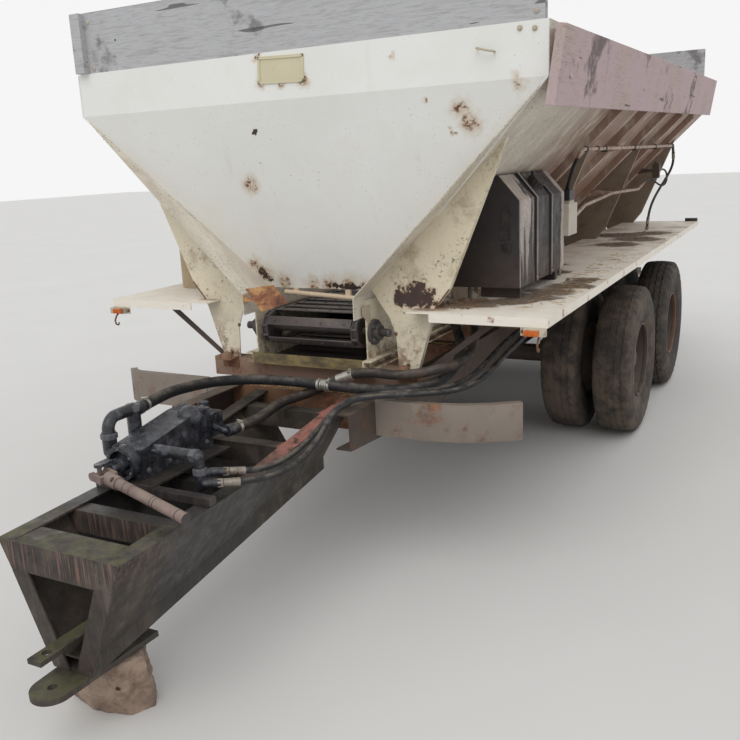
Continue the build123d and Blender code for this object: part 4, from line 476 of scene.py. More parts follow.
def rotten_wood(name):
    """Soft brown wood with dark knots and deep relief."""
    tree = Tree(name, 0.9)
    tree.base = tree.ramp(tree.noise(7.0, 9, 0.72), [
        (0.3, (86, 70, 60)), (0.46, (142, 120, 104)), (0.6, (176, 154, 136)), (0.76, (138, 120, 104)),
    ])
    knots = tree.between(tree.cells(9.0), 0.12, 0.05)
    tree.coat((58, 44, 36), knots)
    height = tree.plus(tree.noise(16.0, 9, 0.75), tree.times(knots, -0.8))
    return tree.finish(None, height, 0.02, 0.8)


def tank_paint(name):
    """Faded black with white paint showing in upright worn streaks and along every edge."""
    tree = Tree(name, 0.55)
    tree.base = tree.tones((32, 32, 37), (58, 52, 51), 5.0, 6, 0.65)
    low = tree.times(tree.along("Z", 1.55, 1.32), tree.patch(0.3, 0.6, 6.0, 6, 0.7))
    tree.coat((84, 66, 54), low, 0.55)
    outer = tree.faces("X", 0.25, 0.5)
    front = tree.minus(1.0, outer)
    scuffs = tree.times(tree.patch(0.64, 0.72, 14.0, 9, 0.75), front)
    tree.coat((112, 102, 94), scuffs, 0.35)
    streaks = tree.noise(9.0, 8, 0.72, tree.stretched(1.0, 1.8, 0.16), 0.2)
    along = tree.axis("Y")
    high = tree.along("Z", 1.34, 1.70)
    near = tree.times(
        tree.between(along, FRONT_Y + 0.78, FRONT_Y + 0.52), tree.plus(tree.times(high, 0.85), 0.15),
    )
    ridges = tree.between(tree.math("ABSOLUTE", tree.minus(along, FRONT_Y + 0.711)), 0.012, 0.004)
    edge = tree.between(along, FRONT_Y + 1.10, FRONT_Y + 1.19)
    threshold = tree.plus(
        tree.plus(streaks, tree.times(near, 0.27)), tree.times(tree.larger(edge, ridges), 0.24),
    )
    worn = tree.times(tree.between(threshold, 0.60, 0.68), outer)
    tree.coat(tree.tones((166, 150, 140), (222, 212, 202), 20.0, 7, 0.7), worn, 0.92)
    grey = tree.times(tree.between(streaks, 0.44, 0.62), outer)
    tree.coat((120, 110, 106), grey, 0.35)
    chips = tree.times(tree.patch(0.58, 0.64, 55.0, 5, 0.7), outer)
    tree.coat((58, 48, 44), chips, 0.8)
    return tree.finish(tree.patch(-0.4, 1.2, 16.0, 4, 0.6), tree.noise(40.0, 6, 0.7), 0.003, 0.5)


def line_paint(name):
    """Pinkish cream pipes, black where the front end is hose."""
    tree = Tree(name, 0.5)
    tree.base = tree.mix(tree.patch(0.4, 0.62, 20.0, 7, 0.7), (184, 164, 146), (132, 102, 88))
    low_box = tree.times(tree.along("Y", -0.60, -0.62), tree.along("Z", 1.67, 1.66))
    tree.coat(tree.tones((206, 200, 188), (170, 158, 140), 12.0, 5, 0.6), low_box)
    upright = tree.times(tree.along("Z", 1.665, 1.675), tree.along("Z", 1.895, 1.885))
    black = tree.times(tree.along("Y", -0.66, -0.68), upright)
    tree.coat((32, 31, 32), black)
    rear = tree.along("Y", 2.2, 2.21)
    tree.coat(tree.tones((48, 44, 42), (94, 78, 66), 30.0, 5, 0.6), rear)
    return tree.finish(None, tree.noise(90.0, 4, 0.6), 0.001, 0.4)


def lamp_finish(name):
    """Pale stained plates in front; black bodies with red lenses behind."""
    tree = Tree(name, 0.45)
    tree.base = tree.mix(tree.patch(0.45, 0.7, 26.0, 6, 0.7), (196, 186, 166), (120, 96, 74))
    behind = tree.along("Y", 3.0, 3.1)
    tree.coat(tree.tones((34, 32, 32), (66, 60, 56), 30.0, 5, 0.7), behind)
    lens = tree.times(behind, tree.faces("Y", 0.6, 0.9))
    ribs = tree.patch(0.3, 0.7, 40.0, 4, 0.6)
    tree.coat(tree.mix(ribs, (128, 20, 16), (168, 36, 26)), lens)
    return tree.finish(None, tree.noise(90.0, 4, 0.6), 0.0008, 0.4)


def floor_steel(name):
    """Dark oily floor, its front lip yellow with old grease and chaff."""
    tree = Tree(name, 0.6)
    tree.base = tree.tones((38, 34, 33), (70, 60, 54), 14.0, 7, 0.7)
    lip = tree.along("Y", FRONT_Y + 0.075, FRONT_Y + 0.066)
    patch = tree.patch(0.36, 0.6, 18.0, 7, 0.72, tree.stretched(0.4, 1.0, 1.0))
    tree.coat((140, 122, 78), lip, tree.math("ADD", tree.times(patch, 0.7), 0.25, True))
    return tree.finish(None, tree.noise(60.0, 5, 0.7), 0.003, 0.6)


def guard_paint(name):
    """Cream tube with rust, and a tilted plate gone orange and brown from corner to corner."""
    tree = Tree(name, 0.65)
    tree.base = tree.tones((214, 200, 176), (182, 152, 122), 5.0, 6, 0.65)
    rust = tree.patch(0.56, 0.64, 14.0, 8, 0.72)
    tree.coat(rust_colour(tree, 30), rust, 0.8)
    tilted = tree.along("Y", FRONT_Y + 0.012, FRONT_Y + 0.008)
    burnt = tree.ramp(tree.noise(5.5, 8, 0.7, tree.stretched(1.0, 1.0, 1.6), 0.5), [
        (0.32, (78, 48, 38)), (0.45, (140, 90, 62)), (0.57, (206, 158, 104)), (0.70, (132, 84, 62)),
    ])
    tree.coat(burnt, tilted)
    return tree.finish(None, tree.plus(tree.noise(60.0, 5, 0.7), tree.times(rust, 0.5)), 0.002, 0.5)


def rubber(name, dust=0.5, mud_low=0.6):
    """Tyre rubber, brown with dust on its tread and caked lower down."""
    tree = Tree(name, 0.85)
    tree.base = tree.tones((42, 39, 37), (62, 56, 52), 14.0, 6, 0.6)
    mud = tree.patch(0.60 - 0.3 * dust, 0.80 - 0.24 * dust, 7.0, 8, 0.72)
    tree.coat((104, 90, 76), mud, mud_low)
    fine = tree.patch(0.5, 0.7, 60.0, 6, 0.7)
    tree.coat((92, 82, 72), fine, 0.35)
    return tree.finish(None, tree.noise(80.0, 6, 0.7), 0.002, 0.5)


def plain_worn(name, colour, worn, roughness=0.5, metallic=0.0, scale=26.0, low=0.4):
    """Two tones mixed by noise, with a faint relief."""
    tree = Tree(name, roughness, metallic)
    tree.base = tree.mix(tree.patch(low, low + 0.3, scale, 6, 0.7), colour, worn)
    return tree.finish(
        tree.patch(-1.0 * roughness, 1.3, scale, 4, 0.6), tree.noise(scale * 4, 4, 0.6), 0.0008, 0.4,
    )


DIRT_PLACES = (
    ((0.93, 0.42, 1.26), 0.13), ((0.99, 0.55, 1.26), 0.15),
    ((1.03, 0.72, 1.26), 0.15), ((1.07, 0.92, 1.26), 0.15),
    ((1.08, 1.12, 1.26), 0.12), ((0.80, 0.33, 1.26), 0.12),
    ((0.88, 1.42, 1.26), 0.10), ((0.72, 1.75, 1.26), 0.17),
    ((0.90, 2.9, 1.26), 0.20), ((0.97, 3.3, 1.26), 0.22),
    ((1.0, 3.75, 1.26), 0.20), ((0.80, 3.6, 1.26), 0.25),
)
BROWN_PLACES = (
    ((0.62, 0.22, 1.26), 0.16), ((0.74, 0.24, 1.26), 0.12),
    ((0.70, 0.40, 1.26), 0.14), ((-0.62, 0.22, 1.26), 0.10),
)
RUST_PLACES = (
    ((0.845, 0.03, 2.115), 0.040), ((0.885, 0.05, 2.06), 0.042),
    ((-0.285, 0.107, 1.841), 0.042), ((0.55, 0.0, 2.34), 0.014),
    ((-0.05, 0.25, 1.335), 0.040), ((0.05, 0.25, 1.335), 0.05),
    ((0.15, 0.252, 1.335), 0.05), ((0.25, 0.255, 1.335), 0.04),
    ((-0.22, 0.25, 1.345), 0.040), ((-0.33, 0.236, 1.39), 0.050), ((-0.37, 0.225, 1.43), 0.040),
    ((-0.11, 0.0, 2.285), 0.024), ((0.125, 0.0, 2.275), 0.026),
    ((0.0, 0.0, 2.275), 0.02), ((-0.115, 0.0, 2.40), 0.018),
    ((1.10, 0.02, 2.20), 0.03), ((0.70, 0.015, 2.16), 0.012), ((0.80, 0.05, 2.03), 0.012),
)
DARK_PLACES = (
    ((-0.181, 0.04, 2.074), 0.020), ((-0.350, 0.232, 1.405), 0.018),
    ((-0.325, 0.238, 1.385), 0.022), ((-0.300, 0.243, 1.365), 0.015),
    ((0.045, 0.252, 1.328), 0.018), ((0.080, 0.251, 1.334), 0.022),
    ((0.115, 0.254, 1.327), 0.024), ((0.150, 0.254, 1.327), 0.024),
    ((0.185, 0.255, 1.323), 0.026), ((0.215, 0.256, 1.320), 0.020), ((0.10, 0.0, 2.32), 0.006),
)
LEG_RUST = (
    ((0.50, 0.15, 1.305), 0.050), ((0.555, 0.15, 1.320), 0.055),
    ((0.58, 0.15, 1.355), 0.035), ((0.625, 0.15, 1.30), 0.045),
)

FINISH = {
    "hopper_paint": side_paint("hopper_cream_paint"),
    "weathered_wood": weathered_wood("grey_planks", "X", (164, 163, 163), (186, 186, 187), (122, 118, 118)),
    "frame_steel": rusty("frame_dark_rust", (58, 50, 46), (88, 74, 64), 0.45),
    "bumper_steel": rusty("bumper_worn_grey", (112, 102, 92), (142, 130, 120), 0.55, 6.0, 0.65),
    "conveyor_steel": rusty("conveyor_dark_steel", (40, 36, 36), (72, 64, 60), 0.3, 14.0, 0.5),
    "cast_parts": greasy("greasy_castings"),
    "tongue_steel": tongue_finish("tongue_oily_steel"),
    "block_wood": rotten_wood("rotten_block"),
    "tank_paint": tank_paint("tank_faded_black"),
    "canister_paint": rusty("pail_cream", (190, 172, 140), (150, 130, 100), 0.2),
    "shaft_steel": rusty("shaft_tube", (70, 60, 58), (166, 142, 132), 0.4, 16.0, 0.5),
    "spinner_steel": rusty("worn_steel", (112, 106, 98), (150, 144, 136), 0.35, 10.0, 0.5),
    "tyre_rubber": rubber("tyre_rubber"),
    "wheel_paint": rusty("wheel_disc", (58, 54, 54), (98, 84, 74), 0.5),
    "hose_rubber": plain_worn("hose_black", (30, 30, 32), (74, 70, 66), 0.45),
    "fitting_steel": plain_worn("fitting_dull_steel", (150, 142, 132), (96, 78, 62), 0.45, 0.6),
    "line_paint": line_paint("line_cream"),
    "guard_paint": guard_paint("guard_rusty_orange"),
    "lamp_lens": lamp_finish("lamp_bodies"),
}
FRONT_WHITE = front_paint("front_white_paint", RUST_PLACES, DARK_PLACES)
LEG_CREAM_AND_SHADE = leg_paint("leg_cream_paint_and_painted_shadow", LEG_RUST)
FENDER_CREAM_AND_SHADE = fender_paint("fender_dirty_cream_and_painted_shade")
SIDE_PLANKS = weathered_wood(
    "pinkish_planks", "Y", (158, 142, 134), (188, 170, 164), (112, 94, 86), (192, 168, 172), 0.75,
)
ORANGE_RUST = rusty("crossmember_orange_rust", (112, 80, 60), (140, 104, 78), 0.8, 8.0)
BEARER_PINK = rusty("bearer_pinkish_rust", (128, 100, 84), (154, 128, 110), 0.6, 7.0)
TYRE_WORN = rubber("tyre_rubber_worn", 0.75, 0.75)
WHEEL_ORANGE = rusty("wheel_orange_rust", (96, 74, 62), (128, 96, 76), 0.75)
BRIGHT = plain_worn("bright_worn_steel", (188, 184, 176), (110, 96, 82), 0.35, 0.75, 40.0, 0.45)
RUST_ALL = rusty("fastener_rust", (92, 66, 52), (120, 88, 68), 0.8, 20.0)
CREAM_TRIM = rusty("cream_trim", (200, 190, 170), (176, 160, 136), 0.35, 12.0)
DIRT = rusty("dirt_clods", (88, 72, 56), (116, 98, 78), 0.1, 30.0, 0.95)
CHAFF = plain_worn("straw_chaff", STRAW, (150, 126, 84), 0.8)
AMBER = plain_worn("amber_lens", (206, 104, 30), (160, 74, 22), 0.25)
RED_LENS = plain_worn("red_lens", (150, 24, 18), (104, 18, 16), 0.25)
BLACK_TRIM = plain_worn("black_trim", (28, 27, 28), (64, 58, 54), 0.5)
CHAIN_STEEL = rusty("chain_dark_oily", (50, 46, 48), (96, 86, 82), 0.35, 16.0, 0.4, 0.2)
PUMP_NUTS = rusty("pump_nuts_worn", (62, 63, 68), (112, 112, 116), 0.25, 26.0, 0.35, 0.15)
WASHER_PALE = rusty("washer_pale", (206, 200, 190), (150, 136, 120), 0.3, 20.0)
PLATE_FRAME = rusty("plate_frame_cream", (214, 206, 178), (196, 186, 152), 0.1, 12.0, 0.55)
TANK_EDGE = rusty("tank_edge_white", (186, 178, 170), (120, 108, 100), 0.3, 14.0, 0.5)
SHAFT_RING = rusty("shaft_ring_dark", (48, 42, 42), (84, 74, 72), 0.3, 20.0, 0.45)

NODE_FINISH = {
    "hopper_front": FRONT_WHITE,
    "hopper_rear": side_paint("hopper_rear_paint", 1.0),
    "hopper_legs": LEG_CREAM_AND_SHADE,
    "fenders": FENDER_CREAM_AND_SHADE,
    "frame_crossmembers": ORANGE_RUST,
    "cross_bearers": BEARER_PINK,
    # The trough sides take the legs' finish, painted shadow towards the rear included.
    "trough_sides": leg_paint("trough_stained_cream_and_painted_shadow"),
    "trough_floors": floor_steel("trough_floor_dark"),
    "side_boards": SIDE_PLANKS,
    "flange_bearings": rusty("bearing_dark", (52, 50, 52), (90, 82, 76), 0.4, 16.0, 0.5),
}


def dress_nodes():
    """Each node of the frame takes its own finish, or that of its slot."""
    for part in frame["record"]["subparts"]:
        node = frame["nodes"][part["node"]]
        node.data.materials.clear()
        node.data.materials.append(NODE_FINISH.get(part["node"], FINISH[part["material_slot"]]))


dress_nodes()


# Mesh forms

def across(aim):
    """Two unit vectors square to a direction."""
    aim = Vector(aim).normalized()
    side = aim.orthogonal().normalized()
    return side, aim.cross(side)


def round_circle(count, radius, start=0):
    """Places round a circle, as pairs of offsets from its middle."""
    for k in range(count):
        angle = math.radians(start + 360 * k / count)
        yield radius * math.cos(angle), radius * math.sin(angle)


class Form:
    """Gathers turned, swept and cut forms into one mesh, in the row frame."""

    def __init__(self):
        self.mesh = bmesh.new()

    def skin(self, rings, closed=False, capped=True):
        """Faces between rings of as many points each."""
        rows = [[self.mesh.verts.new(point) for point in ring] for ring in rings]
        pairs = list(zip(rows, rows[1:]))
        if closed:
            pairs.append((rows[-1], rows[0]))
        for low, high in pairs:
            for i in range(len(low)):
                j = (i + 1) % len(low)
                self.mesh.faces.new((low[i], low[j], high[j], high[i]))
        if capped and not closed:
            self.mesh.faces.new(list(reversed(rows[0])))
            self.mesh.faces.new(rows[-1])

    def turned(self, profile, place, aim, steps=24, loop=False):
        """A profile of (along, radius) pairs turned about a line; loop joins its ends into a ring."""
        aim = Vector(aim).normalized()
        side, up = across(aim)
        rings = []
        for along, radius in profile:
            ring = []
            for i in range(steps):
                angle = 2 * math.pi * i / steps
                out = math.cos(angle) * side + math.sin(angle) * up
                ring.append(Vector(place) + aim * along + radius * out)
            rings.append(ring)
        self.skin(rings, closed=loop, capped=not loop)

    def rod(self, points, radius, steps=10):
        """A round bar along a line of points."""
        points = [Vector(point) for point in points]
        side = None
        rings = []
        for i, point in enumerate(points):
            ahead = points[min(i + 1, len(points) - 1)] - points[max(i - 1, 0)]
            ahead.normalize()
            if side is None:
                side = ahead.orthogonal().normalized()
            side = (side - ahead * side.dot(ahead)).normalized()
            up = ahead.cross(side)
            size = radius[i] if isinstance(radius, (list, tuple)) else radius
            turns = [2 * math.pi * k / steps for k in range(steps)]
            rings.append([point + size * (math.cos(turn) * side + math.sin(turn) * up) for turn in turns])
        self.skin(rings)

    def plate(self, outline, depth):
        """A flat outline given a thickness, as a vector."""
        depth = Vector(depth)
        self.skin([[Vector(p) for p in outline], [Vector(p) + depth for p in outline]])

    def slab(self, low, high, edge=0.002, turn=None):
        """A block with rounded edges between two corners, turned about its middle."""
        low, high = Vector(low), Vector(high)
        middle = (low + high) / 2
        size = [max(abs(a), 0.0005) for a in (high - low)]
        made = bmesh.ops.create_cube(self.mesh, size=1.0)["verts"]
        place = Matrix.Translation(middle) @ (turn.to_4x4() if turn else Matrix()) @ Matrix.Diagonal((
            *size, 1.0,
        ))
        bmesh.ops.transform(self.mesh, matrix=place, verts=made)
        edges = list(dict.fromkeys(e for v in made for e in v.link_edges))
        bmesh.ops.bevel(
            self.mesh, geom=edges, offset=min(edge, 0.45 * min(size)),
            segments=2, affect="EDGES", profile=0.5,
        )

    def bolt(self, place, aim, across_flats=0.012, height=0.009):
        """A hexagon head on its washer."""
        r = across_flats
        self.turned([(0, r * 1.45), (height * 0.25, r * 1.45), (height * 0.3, r * 1.35)], place, aim, 14)
        self.turned([(height * 0.28, r), (height * 0.85, r), (height, r * 0.82)], place, aim, 6)

    def bead(self, points, radius=0.004, spacing=0.006):
        """A weld bead with its ripples."""
        line = [Vector(p) for p in points]
        rows, sizes = [], []
        for a, b in zip(line, line[1:]):
            count = max(2, int((b - a).length / spacing))
            for i in range(count):
                rows.append(a.lerp(b, i / count))
                sizes.append(radius * (1.0 if i % 2 else 0.78) * CHANCE.uniform(0.92, 1.08))
        rows.append(line[-1])
        sizes.append(radius * 0.8)
        self.rod(rows, sizes, 6)

    def piece(self, name, body, material, sharp=40):
        """Ends the form as a piece that rides a body."""
        bmesh.ops.recalc_face_normals(self.mesh, faces=self.mesh.faces[:])
        data = bpy.data.meshes.new(name)
        self.mesh.to_mesh(data)
        self.mesh.free()
        data.polygons.foreach_set("use_smooth", [True] * len(data.polygons))
        data.set_sharp_from_angle(angle=math.radians(sharp))
        data.materials.append(material)
        made = bpy.data.objects.new(name, data)
        bpy.context.scene.collection.objects.link(made)
        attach(made, body)
        return made


# Hoses

SUCTION_WAY = (
    (-0.270, -0.812, 0.977), (-0.292, -0.676, 0.980), (-0.324, -0.550, 0.972), (-0.337, -0.430, 0.958),
    (-0.330, -0.320, 0.948), (-0.291, -0.217, 0.938), (-0.219, -0.134, 0.929), (-0.123, -0.081, 0.922),
    (-0.005, -0.062, 0.918), (0.112, -0.060, 0.915), (0.228, -0.062, 0.915), (0.380, -0.050, 0.907),
    (0.505, -0.012, 0.903), (0.594, 0.050, 0.905), (0.660, 0.128, 0.915), (0.698, 0.214, 0.940),
    (0.706, 0.305, 0.988), (0.686, 0.385, 1.045), (0.644, 0.448, 1.105), (0.592, 0.498, 1.165),
)
RETURN_WAY = (
    (0.034, -0.600, 0.850), (0.050, -0.524, 0.850), (0.052, -0.440, 0.849), (0.038, -0.356, 0.849),
    (0.020, -0.272, 0.850), (0.012, -0.188, 0.851), (0.024, -0.108, 0.851), (0.058, -0.044, 0.858),
    (0.110, 0.000, 0.878), (0.176, 0.024, 0.912), (0.250, 0.033, 0.944), (0.330, 0.034, 0.965),
    (0.412, 0.032, 0.968), (0.494, 0.038, 0.962), (0.572, 0.066, 0.966), (0.640, 0.094, 0.978),
    (0.705, 0.134, 0.990), (0.755, 0.192, 1.004), (0.777, 0.266, 1.031), (0.771, 0.344, 1.067),
    (0.747, 0.418, 1.102), (0.718, 0.486, 1.136), (0.692, 0.546, 1.168),
)
UPPER_WAY = (
    (0.216, -0.898, 0.790), (0.290, -0.830, 0.778), (0.322, -0.730, 0.768), (0.320, -0.600, 0.765),
    (0.310, -0.470, 0.775), (0.318, -0.350, 0.815), (0.340, -0.255, 0.870), (0.385, -0.180, 0.903),
    (0.450, -0.115, 0.908), (0.540, -0.055, 0.907), (0.640, 0.016, 0.905), (0.730, 0.105, 0.905),
    (0.790, 0.215, 0.925), (0.818, 0.345, 0.965), (0.832, 0.500, 1.005), (0.843, 0.680, 1.035),
    (0.850, 0.870, 1.048), (0.856, 1.030, 1.062), (0.860, 1.145, 1.085), (0.862, 1.222, 1.124),
    (0.862, 1.272, 1.178), (0.862, 1.292, 1.236),
)
LOWER_WAY = (
    (0.241, -0.969, 0.772), (0.312, -0.905, 0.766), (0.354, -0.810, 0.752), (0.368, -0.690, 0.748),
    (0.364, -0.560, 0.755), (0.364, -0.440, 0.800), (0.376, -0.355, 0.872), (0.405, -0.272, 0.912),
    (0.455, -0.192, 0.915), (0.520, -0.125, 0.911), (0.605, -0.062, 0.907), (0.705, 0.000, 0.906),
    (0.795, 0.080, 0.906), (0.852, 0.195, 0.925), (0.876, 0.330, 0.965), (0.890, 0.500, 1.003),
    (0.899, 0.700, 1.030), (0.905, 0.880, 1.046), (0.910, 1.040, 1.062), (0.914, 1.150, 1.086),
    (0.916, 1.226, 1.126), (0.916, 1.274, 1.178), (0.916, 1.293, 1.236),
)
DROP_WAY = (
    (1.050, 4.372, 1.890), (1.050, 4.420, 1.830), (1.035, 4.435, 1.755), (1.003, 4.405, 1.680),
    (0.965, 4.330, 1.600), (0.935, 4.230, 1.520), (0.918, 4.140, 1.440),
    (0.912, 4.085, 1.362), (0.910, 4.066, 1.292),
)
LOOP_WAY = (
    (0.880, 3.960, 1.640), (0.882, 4.040, 1.656), (0.887, 4.125, 1.672), (0.896, 4.215, 1.671),
    (0.908, 4.305, 1.655), (0.922, 4.395, 1.630), (0.938, 4.480, 1.606), (0.955, 4.558, 1.603),
    (0.967, 4.614, 1.628), (0.970, 4.632, 1.680), (0.961, 4.604, 1.724), (0.948, 4.548, 1.741),
    (0.936, 4.480, 1.741), (0.930, 4.410, 1.737),
)


def hose_finish(name, dark, worn, low, dusty):
    """Braided-wall hose: cloth-like ridges, dust and rubbed patches along its back."""
    tree = Tree(name, 0.55)
    tree.base = tree.mix(tree.patch(low, low + 0.22, 9.0, 7, 0.72), dark, worn)
    level = tree.faces("Z", 0.1, 0.9)
    dust = tree.times(level, tree.patch(0.4, 0.66, 16.0, 6, 0.7))
    tree.coat((146, 134, 118), dust, dusty)
    rough = tree.patch(-0.4, 1.1, 22.0, 4, 0.6)
    return tree.finish(rough, tree.noise(240.0, 3, 0.6), 0.0008, 0.4)


HOSE_SUCTION = hose_finish("hose_suction_black", (24, 24, 26), (58, 54, 52), 0.5, 0.35)
HOSE_RETURN = hose_finish("hose_return_worn", (44, 38, 36), (92, 74, 62), 0.46, 0.3)
HOSE_PRESSURE = hose_finish("hose_pressure_black", (30, 30, 32), (86, 80, 76), 0.52, 0.45)
HOSE_STEPS = 10


def hose(name, way, diameter, material):
    """A smooth hose on its route's points; the points of its line come back."""
    data = bpy.data.curves.new(name, "CURVE")
    data.dimensions = "3D"
    spline = data.splines.new("NURBS")
    spline.points.add(len(way) - 1)
    for point, place in zip(spline.points, way):
        point.co = (*at(*place), 1.0)
    spline.order_u = 3
    spline.use_endpoint_u = True
    spline.resolution_u = HOSE_STEPS
    made = bpy.data.objects.new(name, data)
    bpy.context.scene.collection.objects.link(made)
    line = [vertex.co.copy() for vertex in bpy.data.meshes.new_from_object(made).vertices]
    data.bevel_depth = diameter / 2
    data.bevel_resolution = 6
    data.use_fill_caps = True
    data.materials.append(material)
    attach(made, "root")
    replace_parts(made, name.replace("_line", ""))
    return line


def stretch_of(line, start, end):
    """The part of a line between two distances from its start."""
    out, gone = [], 0.0
    for a, b in zip(line, line[1:]):
        step = (b - a).length
        if gone + step >= start and gone <= end:
            low = max(0.0, (start - gone) / step)
            high = min(1.0, (end - gone) / step)
            if not out:
                out.append(a.lerp(b, low))
            out.append(a.lerp(b, high))
        gone += step
    return out


def length_of(line):
    return sum((b - a).length for a, b in zip(line, line[1:]))


def hose_band(form, line, middle, half, radius, screw=True):
    """A worm clamp round a hose, with its screw housing on top."""
    points = stretch_of(line, middle - half, middle + half)
    form.rod(points, radius, 18)
    aim = (points[-1] - points[0]).normalized()
    centre = (points[0] + points[-1]) / 2
    if screw:
        up = (Vector((0, -0.4, 1)) - aim * aim.dot(Vector((0, -0.4, 1)))).normalized()
        side = aim.cross(up)
        form.turned(
            [(-0.012, 0.0045), (0.012, 0.0045), (0.016, 0.006), (0.02, 0.006)],
            centre + up * (radius + 0.003), side, 8,
        )


suction = hose("hose_suction_line", SUCTION_WAY, 0.050, HOSE_SUCTION)
back = hose("hose_return_line", RETURN_WAY, 0.046, HOSE_RETURN)
upper = hose("hose_pressure_upper_line", UPPER_WAY, 0.026, HOSE_PRESSURE)
lower = hose("hose_pressure_lower_line", LOWER_WAY, 0.026, HOSE_PRESSURE)
drop = hose("hose_rear_drop_line", DROP_WAY, 0.020, HOSE_PRESSURE)
loop = hose("hose_rear_loop_line", LOOP_WAY, 0.016, HOSE_PRESSURE)


def hose_ends():
    """Clamps, joiner and crimped ferrules, each on the line of its hose."""
    clamps = Form()
    for line, radius in ((suction, 0.0268), (back, 0.0248)):
        whole = length_of(line)
        for middle in (0.035, whole - 0.05):
            hose_band(clamps, line, middle, 0.007, radius)
    for middle in (0.745, 0.780, 0.815):
        hose_band(clamps, back, middle, 0.009, 0.0252, middle > 0.80)
    clamps.rod(stretch_of(back, 0.735, 0.825), 0.0238, 20)
    clamps.piece("hose_clamps", "root", BRIGHT)
    joiner = Form()
    for middle in (1.095, 1.150):
        hose_band(joiner, suction, middle, 0.006, 0.0285, middle > 1.12)
    for k in range(4):
        joiner.rod(stretch_of(suction, 1.107 + 0.009 * k, 1.113 + 0.009 * k), 0.0268, 20)
    joiner.piece("suction_joiner", "root", BRIGHT)
    crimps = Form()
    for line, radius in ((upper, 0.0165), (lower, 0.0165), (drop, 0.013), (loop, 0.0105)):
        whole = length_of(line)
        for start in (0.012, whole - 0.075):
            for i in range(4):
                crimps.rod(stretch_of(line, start + 0.016 * i, start + 0.016 * i + 0.0125), radius, 16)
            crimps.rod(stretch_of(line, start, start + 0.062), radius * 0.93, 16)
    crimps.piece("hose_ferrules", "root", FINISH["fitting_steel"])
    socket = Form()
    for way in (UPPER_WAY, LOWER_WAY):
        start, following = at(*way[0]), at(*way[1])
        socket.turned([(-0.012, 0.019), (0.008, 0.019), (0.011, 0.019 * 0.86)], start, following - start, 6)
    socket.piece("hose_swivel_nuts", "root", FINISH["fitting_steel"])


hose_ends()


# Tyres and wheels

TYRE_R = 0.510
TYRE_XS = (0.705, 1.051)
AXLE_Z = 0.510
AXLE_YS = {"front": 2.540, "rear": 3.892}
TYRE_STEPS = 192
ZIGZAG = (0, 1, 0, -1)
SIDEWALL = (
    (0.094, 0.2546), (0.098, 0.262), (0.104, 0.268),
    (0.107, 0.280), (0.108, 0.292), (0.113, 0.297), (0.121, 0.325),
    (0.128, 0.355), (0.1315, 0.388), (0.1308, 0.408), (0.1318, 0.413), (0.1312, 0.420), (0.1290, 0.424),
    (0.1262, 0.440), (0.1235, 0.452), (0.1245, 0.458), (0.1210, 0.466),
    (0.1165, 0.478), (0.1095, 0.491), (0.1020, 0.4995),
)
SHOULDER_FROM = 13
GROOVES = (0.066, 0.022)
GROOVE_HALF = 0.0055
RIM_LIP = ((-0.004, 0.2415), (0.003, 0.2405), (0.0065, 0.2455), (0.0040, 0.2530), (-0.004, 0.2535))


def tread_profile(depth, shift):
    """From the right shoulder over the crown to the left one, as (x, radius)."""
    out = []
    edge = SIDEWALL[-1][0]

    def crown(x):
        return TYRE_R - 0.010 * (x / edge) ** 2

    for middle in (GROOVES[0], GROOVES[1], -GROOVES[1], -GROOVES[0]):
        x = middle + shift
        out += [
            (x + GROOVE_HALF, crown(x) - 0.0004), (x + GROOVE_HALF * 0.7, crown(x) - depth),
            (x - GROOVE_HALF * 0.7, crown(x) - depth), (x - GROOVE_HALF, crown(x) - 0.0004),
        ]
    return out


def tyre(form, x, y, sign, depth, lug):
    """A ribbed truck tyre with rings on its sidewalls, and lugs on its shoulders."""
    rings = []
    for i in range(TYRE_STEPS):
        angle = 2 * math.pi * i / TYRE_STEPS
        shift = 0.0045 * ZIGZAG[i % 4]
        pulled = lug if i % 6 < 2 else 0.0
        right = []
        for k, (half, radius) in enumerate(SIDEWALL):
            if k >= SHOULDER_FROM:
                reach = pulled * min(1.0, (k - SHOULDER_FROM) / 4)
                half, radius = half - reach * 0.5, radius - reach
            right.append((half, radius))
        left = [(-half, radius) for half, radius in reversed(right)]
        profile = right + tread_profile(depth, shift) + left
        wear = 1.0 - 0.0015 * (0.5 + 0.5 * math.sin(angle * 3 + x * 7))
        ring = []
        for half, radius in profile:
            r = radius * (wear if radius > 0.48 else 1.0)
            ring.append(at(sign * x + half, y + r * math.sin(angle), AXLE_Z + r * math.cos(angle)))
        rings.append(ring)
    form.skin(rings, closed=True)


def ring_places(x, y, radius, count, start=0.0):
    for i in range(count):
        angle = start + 2 * math.pi * i / count
        yield at(x, y + radius * math.sin(angle), AXLE_Z + radius * math.cos(angle))


